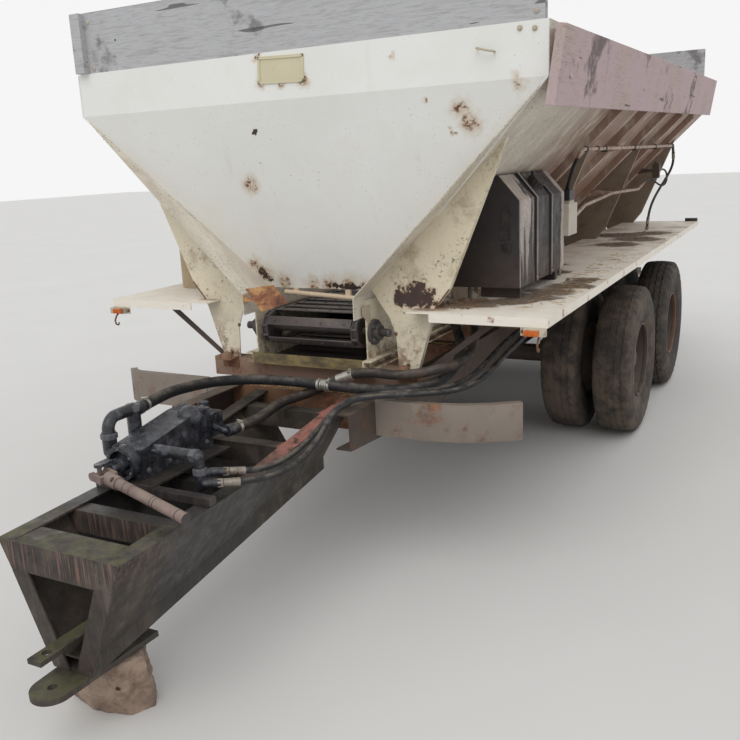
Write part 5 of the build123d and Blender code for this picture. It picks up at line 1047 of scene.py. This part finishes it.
def wheel_trim(form, y, sign):
    """Rim lips and lock rings, wheel nuts on their studs, the axle flange with its bolts, and valve stems."""
    aim = (sign, 0, 0)
    centre = at(0, y, AXLE_Z)
    for x in (1.1530, 0.9490, 0.8070, 0.6030):
        lip = [(x + dx, r) for dx, r in RIM_LIP]
        form.turned(lip, centre, aim, 72, loop=True)
    form.turned(
        [(1.128, 0.2462), (1.140, 0.2395), (1.147, 0.2395), (1.149, 0.2455)], centre, aim, 72, loop=True,
    )
    for place in ring_places(sign * 0.8892, y, 0.143, 10):
        form.turned(
            [(0, 0.019), (0.004, 0.019), (0.006, 0.0155), (0.022, 0.0155), (0.026, 0.012)], place, aim, 6,
        )
        form.turned([(0.02, 0.008), (0.038, 0.008), (0.040, 0.006)], place, aim, 8)
    form.turned(
        [(1.088, 0.098), (1.096, 0.098), (1.098, 0.094), (1.100, 0.062), (1.118, 0.055), (1.122, 0.040)],
        centre, aim, 36,
    )
    for place in ring_places(sign * 1.096, y, 0.080, 8, 0.2):
        form.bolt(place, aim, 0.0085, 0.009)
    for i in range(6):
        angle = 2 * math.pi * i / 6 + 0.3
        out = Vector((0, math.sin(angle), math.cos(angle)))
        low = centre + Vector(aim) * 0.8900 + out * 0.174
        form.turned([(0, 0.021), (0.003, 0.021), (0.0035, 0.017), (0.0005, 0.016)], low, aim, 16)
    stem = centre + Vector(aim) * 0.955 + Vector((0, 0.10, 0.215))
    form.rod(
        [stem, stem + Vector(aim) * 0.05, stem + Vector(aim) * 0.10 + Vector((0, -0.006, -0.012))],
        0.0045, 8,
    )


def make_wheels():
    """Tyres and trim of the four wheel bodies; the front tyres are worn nearly smooth."""
    for end, y in AXLE_YS.items():
        worn = end == "front"
        for side, sign in (("left", 1), ("right", -1)):
            where = end + "_" + side
            body = "dual_" + where
            treads = Form()
            for x in TYRE_XS:
                tyre(treads, x, y, sign, 0.004 if worn else 0.011, 0.004 if worn else 0.010)
            material = TYRE_WORN if worn else FINISH["tyre_rubber"]
            made = treads.piece("tyres_ribbed_" + where, body, material, 50)
            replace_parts(made, "tyres_" + where)
            trim = Form()
            wheel_trim(trim, y, sign)
            trim.piece(
                "wheel_trim_" + where, body, FINISH["wheel_paint"] if worn else WHEEL_ORANGE,
            )


make_wheels()


# Conveyor

SHAFT_YS = (0.175, 5.110)
SHAFT_Z = 1.130
CHAIN_R = 0.0757 + 0.0003
CHAIN_X = 0.255
LINK = 0.0502
FLIGHT_EVERY = 2
FLIGHT_HALF = Vector((0.238, 0.024, 0.003))
BAR_THICK = 0.0044
BAR_OUTLINE = (
    (-0.031, -0.004), (-0.027, -0.0085), (0.027, -0.0085), (0.031, -0.004),
    (0.031, 0.004), (0.027, 0.0085), (-0.027, 0.0085), (-0.031, 0.004),
)


def chain_place(distance):
    """A point on the chain's loop as (y, z), by the distance along it from the front shaft's top."""
    front, rear = SHAFT_YS
    run = rear - front
    turn = math.pi * CHAIN_R
    distance %= 2 * (run + turn)
    if distance < run:
        return front + distance, SHAFT_Z + CHAIN_R
    distance -= run
    if distance < turn:
        angle = distance / CHAIN_R
        return rear + CHAIN_R * math.sin(angle), SHAFT_Z + CHAIN_R * math.cos(angle)
    distance -= turn
    if distance < run:
        return rear - distance, SHAFT_Z - CHAIN_R
    angle = (distance - run) / CHAIN_R
    return front - CHAIN_R * math.sin(angle), SHAFT_Z - CHAIN_R * math.cos(angle)


def make_chain():
    """Two strands of pintle links, with a flight bolted across at every other link."""
    form = Form()
    total = 2 * (SHAFT_YS[1] - SHAFT_YS[0]) + 2 * math.pi * CHAIN_R
    count = 2 * round(total / LINK / 2)
    pitch = total / count
    for i in range(count):
        y0, z0 = chain_place(i * pitch)
        y1, z1 = chain_place((i + 1) * pitch)
        ahead = Vector((0, y1 - y0, z1 - z0)).normalized()
        out = Vector((1, 0, 0)).cross(ahead)
        middle = at(0, (y0 + y1) / 2, (z0 + z1) / 2)
        for strand in (-CHAIN_X, CHAIN_X):
            for side in (-1, 1):
                x = strand + side * (0.0145 if i % 2 else 0.0115)
                bar = middle + Vector((x - BAR_THICK / 2, 0, 0))
                outline = [bar + ahead * along + out * height for along, height in BAR_OUTLINE]
                form.plate(outline, (BAR_THICK, 0, 0))
            form.turned([(-0.0178, 0.0052), (0.0178, 0.0052)], at(strand, y0, z0), (1, 0, 0), 8)
            form.turned([(-0.0095, 0.0082), (0.0095, 0.0082)], at(strand, y0, z0), (1, 0, 0), 8)
        if i % FLIGHT_EVERY == 0:
            centre = middle + out * 0.0105
            tilt = Matrix(((1, 0, 0), (0, ahead.y, out.y), (0, ahead.z, out.z)))
            form.slab(centre - FLIGHT_HALF, centre + FLIGHT_HALF, 0.0015, tilt)
            if y0 < 0.9:
                for x in (-0.20, -0.07, 0.07, 0.20):
                    form.bolt(centre + out * 0.003 + Vector((x, 0, 0)), out, 0.0065, 0.005)
    chain = form.piece("chain_and_flights", "root", CHAIN_STEEL)
    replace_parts(chain, "conveyor_chain")


make_chain()


# Hopper details

HOPPER_HALF = 1.220
BAND_BOTTOM = 2.212
VEE_BOTTOM = 1.318
VEE_HALF = 0.313
SHEET_RUN = 0.257
SHEET_DROP = 0.894
BEAD_X = 1.2185
BEAD_INWARD = 0.9055
PLATE_X = 0.004
PLATE_Z = 2.34
POST_PITCH = 1.5733
BOARD_LEAN = math.tan(math.radians(9))
LEG_X = 0.512
BEARING_BOLT_R = 0.046
HANDLE_LINE = (
    (0.935, 0, 2.338), (0.936, -0.022, 2.336), (0.943, -0.030, 2.334),
    (0.996, -0.030, 2.320), (1.004, -0.022, 2.319), (1.005, 0, 2.318),
)


def sheet_point(x, share, off):
    """A point off the sloping front sheet; share runs from 0 at the band to 1 at its foot."""
    out = Vector((0, -SHEET_DROP, -SHEET_RUN)).normalized()
    return at(x, SHEET_RUN * share, BAND_BOTTOM - SHEET_DROP * share) + out * off


def make_hopper_trim():
    """Weld beads, the blank plate's frame, a handle with bolts, and the boards' washers."""
    beads = Form()
    for side in (-1, 1):
        line = [sheet_point(side * (BEAD_X - BEAD_INWARD * k / 24), k / 24, 0.001) for k in range(25)]
        beads.bead(line, 0.0045, 0.009)
        beads.bead([at(side * BEAD_X, -0.0005, 2.214), at(side * BEAD_X, -0.0005, 2.412)], 0.004, 0.009)
    beads.piece("hopper_weld_beads", "root", FRONT_WHITE)
    plate = Form()
    corners = [(-0.112, 2.402), (0.130, 2.394), (0.126, 2.278), (-0.118, 2.286)]
    for i in range(4):
        (x0, z0), (x1, z1) = corners[i], corners[(i + 1) % 4]
        inward = Vector((PLATE_X - (x0 + x1) / 2, 0, PLATE_Z - (z0 + z1) / 2)).normalized() * 0.012
        outline = [at(x0, -0.0065, z0), at(x1, -0.0065, z1)]
        outline += [at(x1, -0.0065, z1) + inward, at(x0, -0.0065, z0) + inward]
        plate.plate(outline, (0, 0.006, 0))
    inner = [at(x * 0.94, -0.0022, PLATE_Z + (z - PLATE_Z) * 0.86) for x, z in corners]
    plate.plate(inner, (0, 0.002, 0))
    for x, z in corners:
        plate.turned(
            [(0, 0.0045), (0.002, 0.0042), (0.003, 0.002)],
            at(x * 0.93, -0.0062, PLATE_Z + (z - PLATE_Z) * 0.88), (0, -1, 0), 12,
        )
    plate.piece("blank_plate_frame", "root", PLATE_FRAME)
    handle = Form()
    handle.rod([at(*place) for place in HANDLE_LINE], 0.0042, 10)
    handle.bolt(at(1.106, -0.001, 2.394), (0, -1, 0), 0.0075, 0.008)
    handle.bolt(at(1.165, -0.001, 2.388), (0, -1, 0), 0.0075, 0.008)
    handle.piece("band_handle_and_bolts", "root", CREAM_TRIM)
    heads = Form()
    for x, z in ((-1.110, 2.44), (-1.120, 2.66), (1.170, 2.45), (1.165, 2.66)):
        heads.turned(
            [(0, 0.012), (0.003, 0.011), (0.005, 0.007), (0.006, 0.002)], at(x, 0.0052, z), (0, -1, 0), 16,
        )
    for side in (-1, 1):
        for i in range(0 if side > 0 else 1, 4):
            y = 0.06 + i * POST_PITCH + 0.0445
            for share in (0.25, 0.75):
                z = 2.15 + 0.25 * share
                x = 1.2203 + 0.038 + 0.26 * share * BOARD_LEAN * 0.7
                heads.turned(
                    [(0, 0.012), (0.003, 0.011), (0.005, 0.003)],
                    at(side * (x + 0.012), y, z + 0.085 * y / 5), (side, 0, 0.15), 14,
                )
    heads.piece("board_bolt_heads", "root", WASHER_PALE)


make_hopper_trim()


def make_leg_trim():
    """Rivets, corner plate, hole rims and weld lines round the front legs and the conveyor's mouth."""
    form = Form()
    for side in (-1, 1):
        form.bead([at(side * 0.728, 0.1495, 1.352), at(side * 0.655, 0.1495, 1.262)], 0.004)
        form.bolt(at(side * LEG_X, 0.149, 0.985), (0, -1, 0), 0.007, 0.007)
        form.turned(
            [(0, 0.010), (0.001, 0.010), (0.0012, 0.006)], at(side * 0.452, 0.1498, 1.132), (0, -1, 0), 16,
        )
    form.piece("leg_bolts_and_beads", "root", RUST_ALL)
    bearing = Form()
    for side in (-1, 1):
        for a, b in round_circle(4, BEARING_BOLT_R, 45):
            bearing.bolt(at(side * 0.3356, SHAFT_YS[0] + a, SHAFT_Z + b), (side, 0, 0), 0.009, 0.010)
        bearing.turned(
            [(0, 0.006), (0.010, 0.0055), (0.014, 0.004)],
            at(side * 0.350, 0.145, 1.152), (side, -0.8, 0.8), 8,
        )
        bearing.turned(
            [(0, 0.0195), (0.006, 0.0185), (0.008, 0.014), (0.006, 0.008)],
            at(side * 0.4032, SHAFT_YS[0], SHAFT_Z), (side, 0, 0), 20,
        )
    bearing.piece("bearing_bolts", "root", PUMP_NUTS)
    corner = Form()
    corner.plate(
        [
            at(0.3200, 0.0700, 1.268), at(0.3200, 0.1480, 1.268),
            at(0.3200, 0.1480, 1.165), at(0.3200, 0.070, 1.225),
        ],
        (0.003, 0, 0),
    )
    corner.slab(at(0.322, 0.096, 1.060), at(0.326, 0.146, 1.092), 0.001)
    corner.piece("mouth_corner_plate", "root", CREAM_TRIM)
    clamp = Form()
    for side in (-1, 1):
        clamp.turned(
            [(0, 0.042), (0.006, 0.042), (0.008, 0.032), (0.024, 0.026), (0.034, 0.012)],
            at(side * LEG_X, 0.100, 0.961), (0, 0, 1), 20,
        )
        clamp.slab(at(side * LEG_X - 0.05, 0.062, 0.9605), at(side * LEG_X + 0.05, 0.144, 0.9665), 0.002)
        clamp.slab(at(side * LEG_X - 0.05, 0.1295, 0.908), at(side * LEG_X + 0.05, 0.1357, 0.9610), 0.002)
        clamp.bolt(at(side * 0.478, 0.078, 0.966), (0, 0, 1), 0.010, 0.011)
        clamp.bolt(at(side * 0.546, 0.078, 0.966), (0, 0, 1), 0.010, 0.011)
    clamp.piece("leg_foot_clamps", "root", ORANGE_RUST)


make_leg_trim()


# Oil tank

TANK_OUTER = 0.960
TANK_SHOULDER = 1.720
TANK_TOP = 1.835
TANK_CREST = 0.022
TANK_BAND = 0.009
CAP_HEIGHT = 0.034


def hopper_face_x(z):
    """Outer face of the sloping side sheet at a height."""
    return VEE_HALF + (z - VEE_BOTTOM) / (BAND_BOTTOM - VEE_BOTTOM) * (HOPPER_HALF - VEE_HALF)


CREST_X = hopper_face_x(TANK_TOP) + TANK_CREST
CAP_AIM = Vector((TANK_TOP - TANK_SHOULDER, 0, TANK_OUTER - CREST_X)).normalized()
CAP_AT = at((TANK_OUTER + CREST_X) / 2, 0.82, (TANK_SHOULDER + TANK_TOP) / 2) + CAP_AIM * CAP_HEIGHT


def make_tank_trim():
    """Ridges on the bands, seams, the recess with its latch, and the filler cap's grip."""
    form = Form()
    band_x = TANK_OUTER + TANK_BAND
    for y in (0.698, 0.953):
        line = [
            at(band_x, y, 1.350), at(band_x, y, TANK_SHOULDER),
            at(CREST_X + TANK_BAND, y, TANK_TOP + 0.002),
        ]
        form.rod(line, 0.0045, 8)
        form.bolt(at(band_x, y, 1.335), (1, 0, 0), 0.007, 0.006)
    form.bead([at(0.9604, 0.4515, 1.320), at(0.9604, 0.4515, 1.718)], 0.003)
    form.bead([at(0.500, 0.4500, 1.8360), at(0.845, 0.4500, 1.8360)], 0.003)
    form.piece("tank_ribs_and_seams", "root", TANK_EDGE)
    recess = Form()
    rim = [(0.868, 1.703), (0.916, 1.690), (0.912, 1.545), (0.866, 1.540)]
    for i in range(4):
        (x0, z0), (x1, z1) = rim[i], rim[(i + 1) % 4]
        recess.rod([at(x0, 0.4492, z0), at(x1, 0.4492, z1)], 0.0028, 8)
    recess.plate([at(x, 0.4488, z) for x, z in rim], (0, 0.001, 0))
    recess.slab(at(0.874, 0.4400, 1.486), at(0.916, 0.4498, 1.520), 0.002)
    recess.rod(
        [
            at(0.884, 0.438, 1.520), at(0.884, 0.431, 1.503),
            at(0.906, 0.431, 1.503), at(0.906, 0.438, 1.520),
        ],
        0.0022, 8,
    )
    recess.piece("tank_recess_and_latch", "root", BLACK_TRIM)
    cap = Form()
    cap.turned([(0, 0.0395), (0.003, 0.040), (0.006, 0.037)], CAP_AT, CAP_AIM, 36)
    side, up = across(CAP_AIM)
    for a, b in round_circle(12, 0.0400):
        cap.turned(
            [(-0.022, 0.0045), (0.002, 0.0045), (0.004, 0.003)], CAP_AT + a * side + b * up, CAP_AIM, 8,
        )
    cap.piece("filler_cap_grip", "root", BLACK_TRIM)


make_tank_trim()


# Pump, valve and drive shaft

PUMP_X = -0.140
PUMP_Z = 0.838
BELL_BOLT_R = 0.061
VALVE_X = -0.102
VALVE_Y = -0.710
VALVE_BOLT_R = 0.046
FITTING_Y = -0.972


def make_pump_trim():
    """Bolts and nuts of the pump, its deck and valve, and the rings on the drive shaft."""
    bolts = Form()
    for a, b in round_circle(6, BELL_BOLT_R, 30):
        bolts.bolt(at(PUMP_X + a, -1.0920, PUMP_Z + b), (0, -1, 0), 0.0044, 0.007)
    for y in (-1.02, -0.90, -0.78, -0.66):
        for x, aim in ((-0.2165, -1), (-0.0635, 1)):
            bolts.bolt(at(x, y, 0.80), (aim, 0, 0), 0.008, 0.009)
    for x, y in ((-0.19, -0.69), (-0.19, -0.64), (-0.09, -0.64)):
        bolts.bolt(at(x, y, 0.9435), (0, 0, 1), 0.009, 0.010)
    for y in (-0.60, -0.57, -0.54):
        bolts.bolt(at(-0.17, y, 0.9005), (0, 0, 1), 0.007, 0.008)
    for a, b in round_circle(6, VALVE_BOLT_R):
        bolts.bolt(at(VALVE_X + a, VALVE_Y + b, 0.9380), (0, 0, 1), 0.006, 0.008)
    for place in (at(-0.265, -1.008, 0.930), at(-0.265, -0.862, 1.004)):
        bolts.turned([(-0.026, 0.034), (-0.006, 0.034), (-0.003, 0.030)], place, (0, 0, 1), 8)
    bolts.turned([(0, 0.026), (0.022, 0.026), (0.025, 0.022)], at(-0.062, FITTING_Y, 0.868), (1, 0, 0), 6)
    bolts.turned([(0, 0.028), (0.024, 0.028), (0.027, 0.024)], at(0.118, FITTING_Y, 0.868), (1, 0, 0), 6)
    bolts.turned([(0, 0.028), (0.024, 0.028), (0.027, 0.024)], at(0.150, FITTING_Y, 0.795), (0, 0, 1), 6)
    bolts.piece("pump_bolts_and_nuts", "root", PUMP_NUTS)
    marks = Form()
    start = at(PUMP_X, -1.195, PUMP_Z)
    aim = Vector((0.45, -0.07, -0.075)).normalized()
    for along in (0.150, 0.185, 0.300, 0.315, 0.430):
        marks.turned(
            [(0, 0.0212), (0.001, 0.0217), (0.003, 0.0217), (0.004, 0.0212)], start + aim * along, aim, 28,
        )
    marks.turned([(0.4702, 0.0215), (0.4712, 0.0205), (0.4708, 0.0160), (0.4703, 0.0150)], start, aim, 28)
    _, up = across(aim)
    marks.bolt(start + aim * 0.095 + up * 0.023, up, 0.007, 0.008)
    marks.piece("shaft_rings", "pto_shaft", SHAFT_RING)


make_pump_trim()


# Lines and lamps

LINE_X = 1.050
LINE_Z = 1.936
LAMP_X = 1.1485
HOOK_X = 1.175
HOOK_LINE = ((0.040, 1.184), (0.020, 1.172), (0.006, 1.150), (0.010, 1.128), (0.026, 1.120), (0.034, 1.132))


def make_line_trim():
    """Clamps and couplings on the steel lines, and nuts at the valves behind the tank."""
    form = Form()
    for y in (1.767, 2.641, 3.463):
        form.turned([(-0.012, 0.0145), (0.012, 0.0145)], at(LINE_X, y, LINE_Z), (0, 1, 0), 18)
        form.slab(at(1.030, y - 0.012, 1.915), at(1.070, y + 0.012, 1.921), 0.001)
    for y in (1.300, 1.560, 4.300):
        form.turned([(0, 0.0165), (0.018, 0.0165), (0.020, 0.014)], at(LINE_X, y, LINE_Z), (0, 1, 0), 6)
    form.piece("line_clamps", "root", BLACK_TRIM)
    nuts = Form()
    for x in (0.862, 0.900, 0.940):
        nuts.turned([(0, 0.019), (0.012, 0.019), (0.014, 0.016)], at(x, 1.310, 1.6555), (0, 0, 1), 6)
    for x in (0.862, 0.916):
        nuts.turned([(-0.02, 0.0190), (0.0, 0.0190), (0.003, 0.016)], at(x, 1.295, 1.470), (0, 0, 1), 6)
    nuts.turned([(0, 0.017), (0.014, 0.017)], at(0.931, 4.284, 1.7970), (0, 0, 1), 6)
    nuts.piece("valve_nuts", "root", PUMP_NUTS)


make_line_trim()


def make_lamp_trim():
    """Ridged lenses and hooks of the marker lamps, and rings on the tail lamps."""
    amber = Form()
    for side in (-1, 1):
        amber.slab(
            at(side * LAMP_X - 0.033, -0.001, 1.187), at(side * LAMP_X + 0.033, 0.0100, 1.213), 0.004,
        )
        for k in range(7):
            x = side * LAMP_X - 0.027 + 0.009 * k
            amber.slab(at(x - 0.0012, -0.0022, 1.190), at(x + 0.0012, 0.000, 1.210), 0.0005)
    amber.piece("amber_lenses", "root", AMBER)
    hooks = Form()
    for side in (-1, 1):
        hooks.rod([at(side * HOOK_X, y, z) for y, z in HOOK_LINE], 0.0045, 8)
        hooks.bolt(at(side * 1.102, 0.0395, 1.200), (0, -1, 0), 0.006, 0.005)
    hooks.piece("lamp_hooks", "root", RUST_ALL)
    red = Form()
    for x in (-0.56, -0.43, 0.43, 0.56):
        for r in (0.012, 0.024, 0.036):
            red.turned(
                [(-0.002, r + 0.002), (0.0006, r), (-0.002, r - 0.002)],
                at(x, 5.7590, 0.5067), (0, 1, 0), 32, loop=True,
            )
    red.piece("tail_lamp_rings", "root", RED_LENS)


make_lamp_trim()


# Dirt and straw

FENDER_TOP = 1.2603
CROSSMEMBER_TOP = 0.8605
STALK_R = 0.0013
STALK_LIFT = 0.0022
# The last three belong to the tongue and take no straw
CROSSMEMBER_YS = (0.0153, 1.150, -0.160, -0.520, -0.900)


def clod(form, place, radius, height):
    """A lump of dirt: a dome with a ragged outline."""
    steps = 9
    turn = CHANCE.uniform(0, 6.28)
    rings = []
    ragged = [CHANCE.uniform(0.7, 1.25) for _ in range(steps)]
    for share, lift in ((1.0, 0.0), (0.82, 0.45), (0.48, 0.85), (0.12, 1.0)):
        ring = []
        for i in range(steps):
            angle = turn + 2 * math.pi * i / steps
            r = radius * share * ragged[i]
            rise = height * lift * CHANCE.uniform(0.8, 1.1)
            ring.append(Vector(place) + Vector((r * math.cos(angle), r * math.sin(angle), rise)))
        rings.append(ring)
    form.skin(rings)


def straw(form, place, reach):
    """One bent stalk that lies on a level place."""
    angle = CHANCE.uniform(0, 2 * math.pi)
    bend = CHANCE.uniform(-0.5, 0.5)
    half = reach / 2
    a = Vector((math.cos(angle), math.sin(angle), 0)) * half
    b = Vector((math.cos(angle + bend), math.sin(angle + bend), 0)) * half
    lift = Vector((0, 0, STALK_LIFT))
    place = Vector(place)
    form.rod([place - a + lift, place + lift * (1 + CHANCE.random()), place + b + lift], STALK_R, 4)


def make_litter():
    """Clods on the fenders, and straw on the crossmembers and the left fender."""
    dirt = Form()
    for (x, y, _), reach in DIRT_PLACES:
        for _ in range(34):
            out = CHANCE.triangular(0.0, reach, 0.02)
            angle = CHANCE.uniform(0, 2 * math.pi)
            px, py = x + out * math.cos(angle), y + out * math.sin(angle)
            if px < 1.195 and (px > 0.985 or not 0.43 < py < 1.24):
                r = CHANCE.uniform(0.003, 0.013)
                clod(dirt, at(px, py, FENDER_TOP - 0.0006), r, r * CHANCE.uniform(0.3, 0.6))
    for (x, y, _), reach in BROWN_PLACES:
        for _ in range(24):
            px = x + CHANCE.uniform(-reach, reach) * 0.6
            py = y + CHANCE.uniform(-reach, reach) * 0.6
            if 0.57 < abs(px) < 1.19 and (py < 0.445 or abs(px) > 0.745) and py > 0.16:
                clod(
                    dirt, at(px, py, FENDER_TOP - 0.0006),
                    CHANCE.uniform(0.003, 0.012), CHANCE.uniform(0.003, 0.008),
                )
    dirt.piece("fender_dirt", "root", DIRT, 80)
    stalks = Form()
    for _ in range(170):
        y = CHANCE.choice(CROSSMEMBER_YS)
        if y > -0.1:
            place = at(CHANCE.uniform(-0.30, 0.30), y + CHANCE.uniform(-0.02, 0.03), CROSSMEMBER_TOP)
            straw(stalks, place, CHANCE.uniform(0.03, 0.10))
    for _ in range(110):
        straw(
            stalks, at(CHANCE.uniform(0.99, 1.18), CHANCE.uniform(0.25, 2.6), FENDER_TOP),
            CHANCE.uniform(0.02, 0.07),
        )
    stalks.piece("straw_stalks", "root", CHAFF, 80)


make_litter()


# Nodes of the frame with a worn shape or softened edges

def lumpy(name, node, material, voxel, depth, scale):
    """A node's own form, remade in small cells, rounded, and worn inwards by noise."""
    source = bpy.data.objects.new(name + "_source", frame["nodes"][node].data.copy())
    bpy.context.scene.collection.objects.link(source)
    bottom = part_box(node)[0].z
    weld = source.modifiers.new("weld", "WELD")
    weld.merge_threshold = 0.0002
    cells = source.modifiers.new("cells", "REMESH")
    cells.mode = "VOXEL"
    cells.voxel_size = voxel
    rounded = source.modifiers.new("rounded", "SMOOTH")
    rounded.factor = 0.6
    rounded.iterations = 10
    bpy.context.view_layer.update()
    graph = bpy.context.evaluated_depsgraph_get()
    form = Form()
    made_mesh = bpy.data.meshes.new_from_object(source.evaluated_get(graph))
    form.mesh.from_mesh(made_mesh)
    bpy.data.objects.remove(source)
    bpy.data.meshes.remove(made_mesh)
    form.mesh.normal_update()
    for v in form.mesh.verts:
        wear = 0.6 * noise.noise(v.co * scale) + 0.4 * noise.noise(v.co * scale * 3.1)
        v.co -= v.normal * depth * (0.5 + 0.5 * max(-1.0, min(1.0, wear * 1.8)))
        if v.co.z < bottom + voxel * 1.5:
            v.co.z = bottom
    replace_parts(form.piece(name, "root", material, 70), node)


lumpy("support_block_worn", "support_block", FINISH["block_wood"], 0.007, 0.014, 14.0)


def soft_edges(nodes, width):
    """Bevels on the frame's own nodes, so that their edges catch the light."""
    for node in nodes:
        made = frame["nodes"][node]
        weld = made.modifiers.new("weld", "WELD")
        weld.merge_threshold = 0.00005
        bevel = made.modifiers.new("edge", "BEVEL")
        bevel.width = width
        bevel.segments = 2
        bevel.limit_method = "ANGLE"
        bevel.angle_limit = math.radians(40)
        bevel.use_clamp_overlap = True


PLAIN_BEAMS = ("front_bumper", "frame_crossmembers", "cross_bearers", "tongue_beam", "tongue_crossmembers")
soft_edges(("end_boards", "side_boards", *PLAIN_BEAMS), 0.0025)
soft_edges(("oil_tank", "pump_body", "pump_deck", "nose_posts"), 0.003)


def make_corner_lamp():
    """A black lamp on the fender's rear corner."""
    lamp = Form()
    lamp.slab(at(1.10, 4.895, 1.2604), at(1.205, 4.935, 1.288), 0.004)
    lamp.turned([(0, 0.010), (0.004, 0.010), (0.005, 0.006)], at(1.152, 4.894, 1.274), (0, -1, 0), 14)
    lamp.piece("fender_corner_lamp", "root", BLACK_TRIM)


make_corner_lamp()


# Light, floor and background

def make_stage():
    """A pale floor, a sky that is white to the camera, and one soft sun."""
    scene = bpy.context.scene
    scene.view_settings.view_transform = "Standard"
    floor = bpy.data.meshes.new("floor")
    reach = 60.0
    floor.from_pydata(
        [(-reach, -reach, 0), (reach, -reach, 0), (reach, reach, 0), (-reach, reach, 0)],
        [], [(0, 1, 2, 3)],
    )
    plane = bpy.data.objects.new("floor", floor)
    plane.location.z = -0.002
    scene.collection.objects.link(plane)
    tree = Tree("floor_pale", 0.9)
    tree.base = tree.tones((214, 212, 208), (222, 220, 216), 0.8, 3, 0.5)
    tree.finish()
    floor.materials.append(tree.material)

    world = bpy.data.worlds.new("sky")
    scene.world = world
    world.use_nodes = True
    nodes, links = world.node_tree.nodes, world.node_tree.links
    background = nodes["Background"]
    background.inputs["Color"].default_value = (0.95, 0.97, 1.0, 1.0)
    background.inputs["Strength"].default_value = 0.72
    white = nodes.new("ShaderNodeBackground")
    white.inputs["Color"].default_value = (0.92, 0.92, 0.92, 1.0)
    white.inputs["Strength"].default_value = 1.0
    path = nodes.new("ShaderNodeLightPath")
    seen = path.outputs["Is Camera Ray"]
    for ray in ("Is Glossy Ray", "Is Transmission Ray"):
        either = nodes.new("ShaderNodeMath")
        either.operation = "MAXIMUM"
        links.new(seen, either.inputs[0])
        links.new(path.outputs[ray], either.inputs[1])
        seen = either.outputs[0]
    share = nodes.new("ShaderNodeMixShader")
    links.new(seen, share.inputs[0])
    links.new(background.outputs[0], share.inputs[1])
    links.new(white.outputs[0], share.inputs[2])
    links.new(share.outputs[0], nodes["World Output"].inputs[0])

    sun = bpy.data.lights.new("soft_sun", "SUN")
    sun.energy = 1.1
    sun.angle = math.radians(50)
    lamp = bpy.data.objects.new("soft_sun", sun)
    lamp.rotation_euler = (math.radians(38), math.radians(12), 0)
    scene.collection.objects.link(lamp)


make_stage()
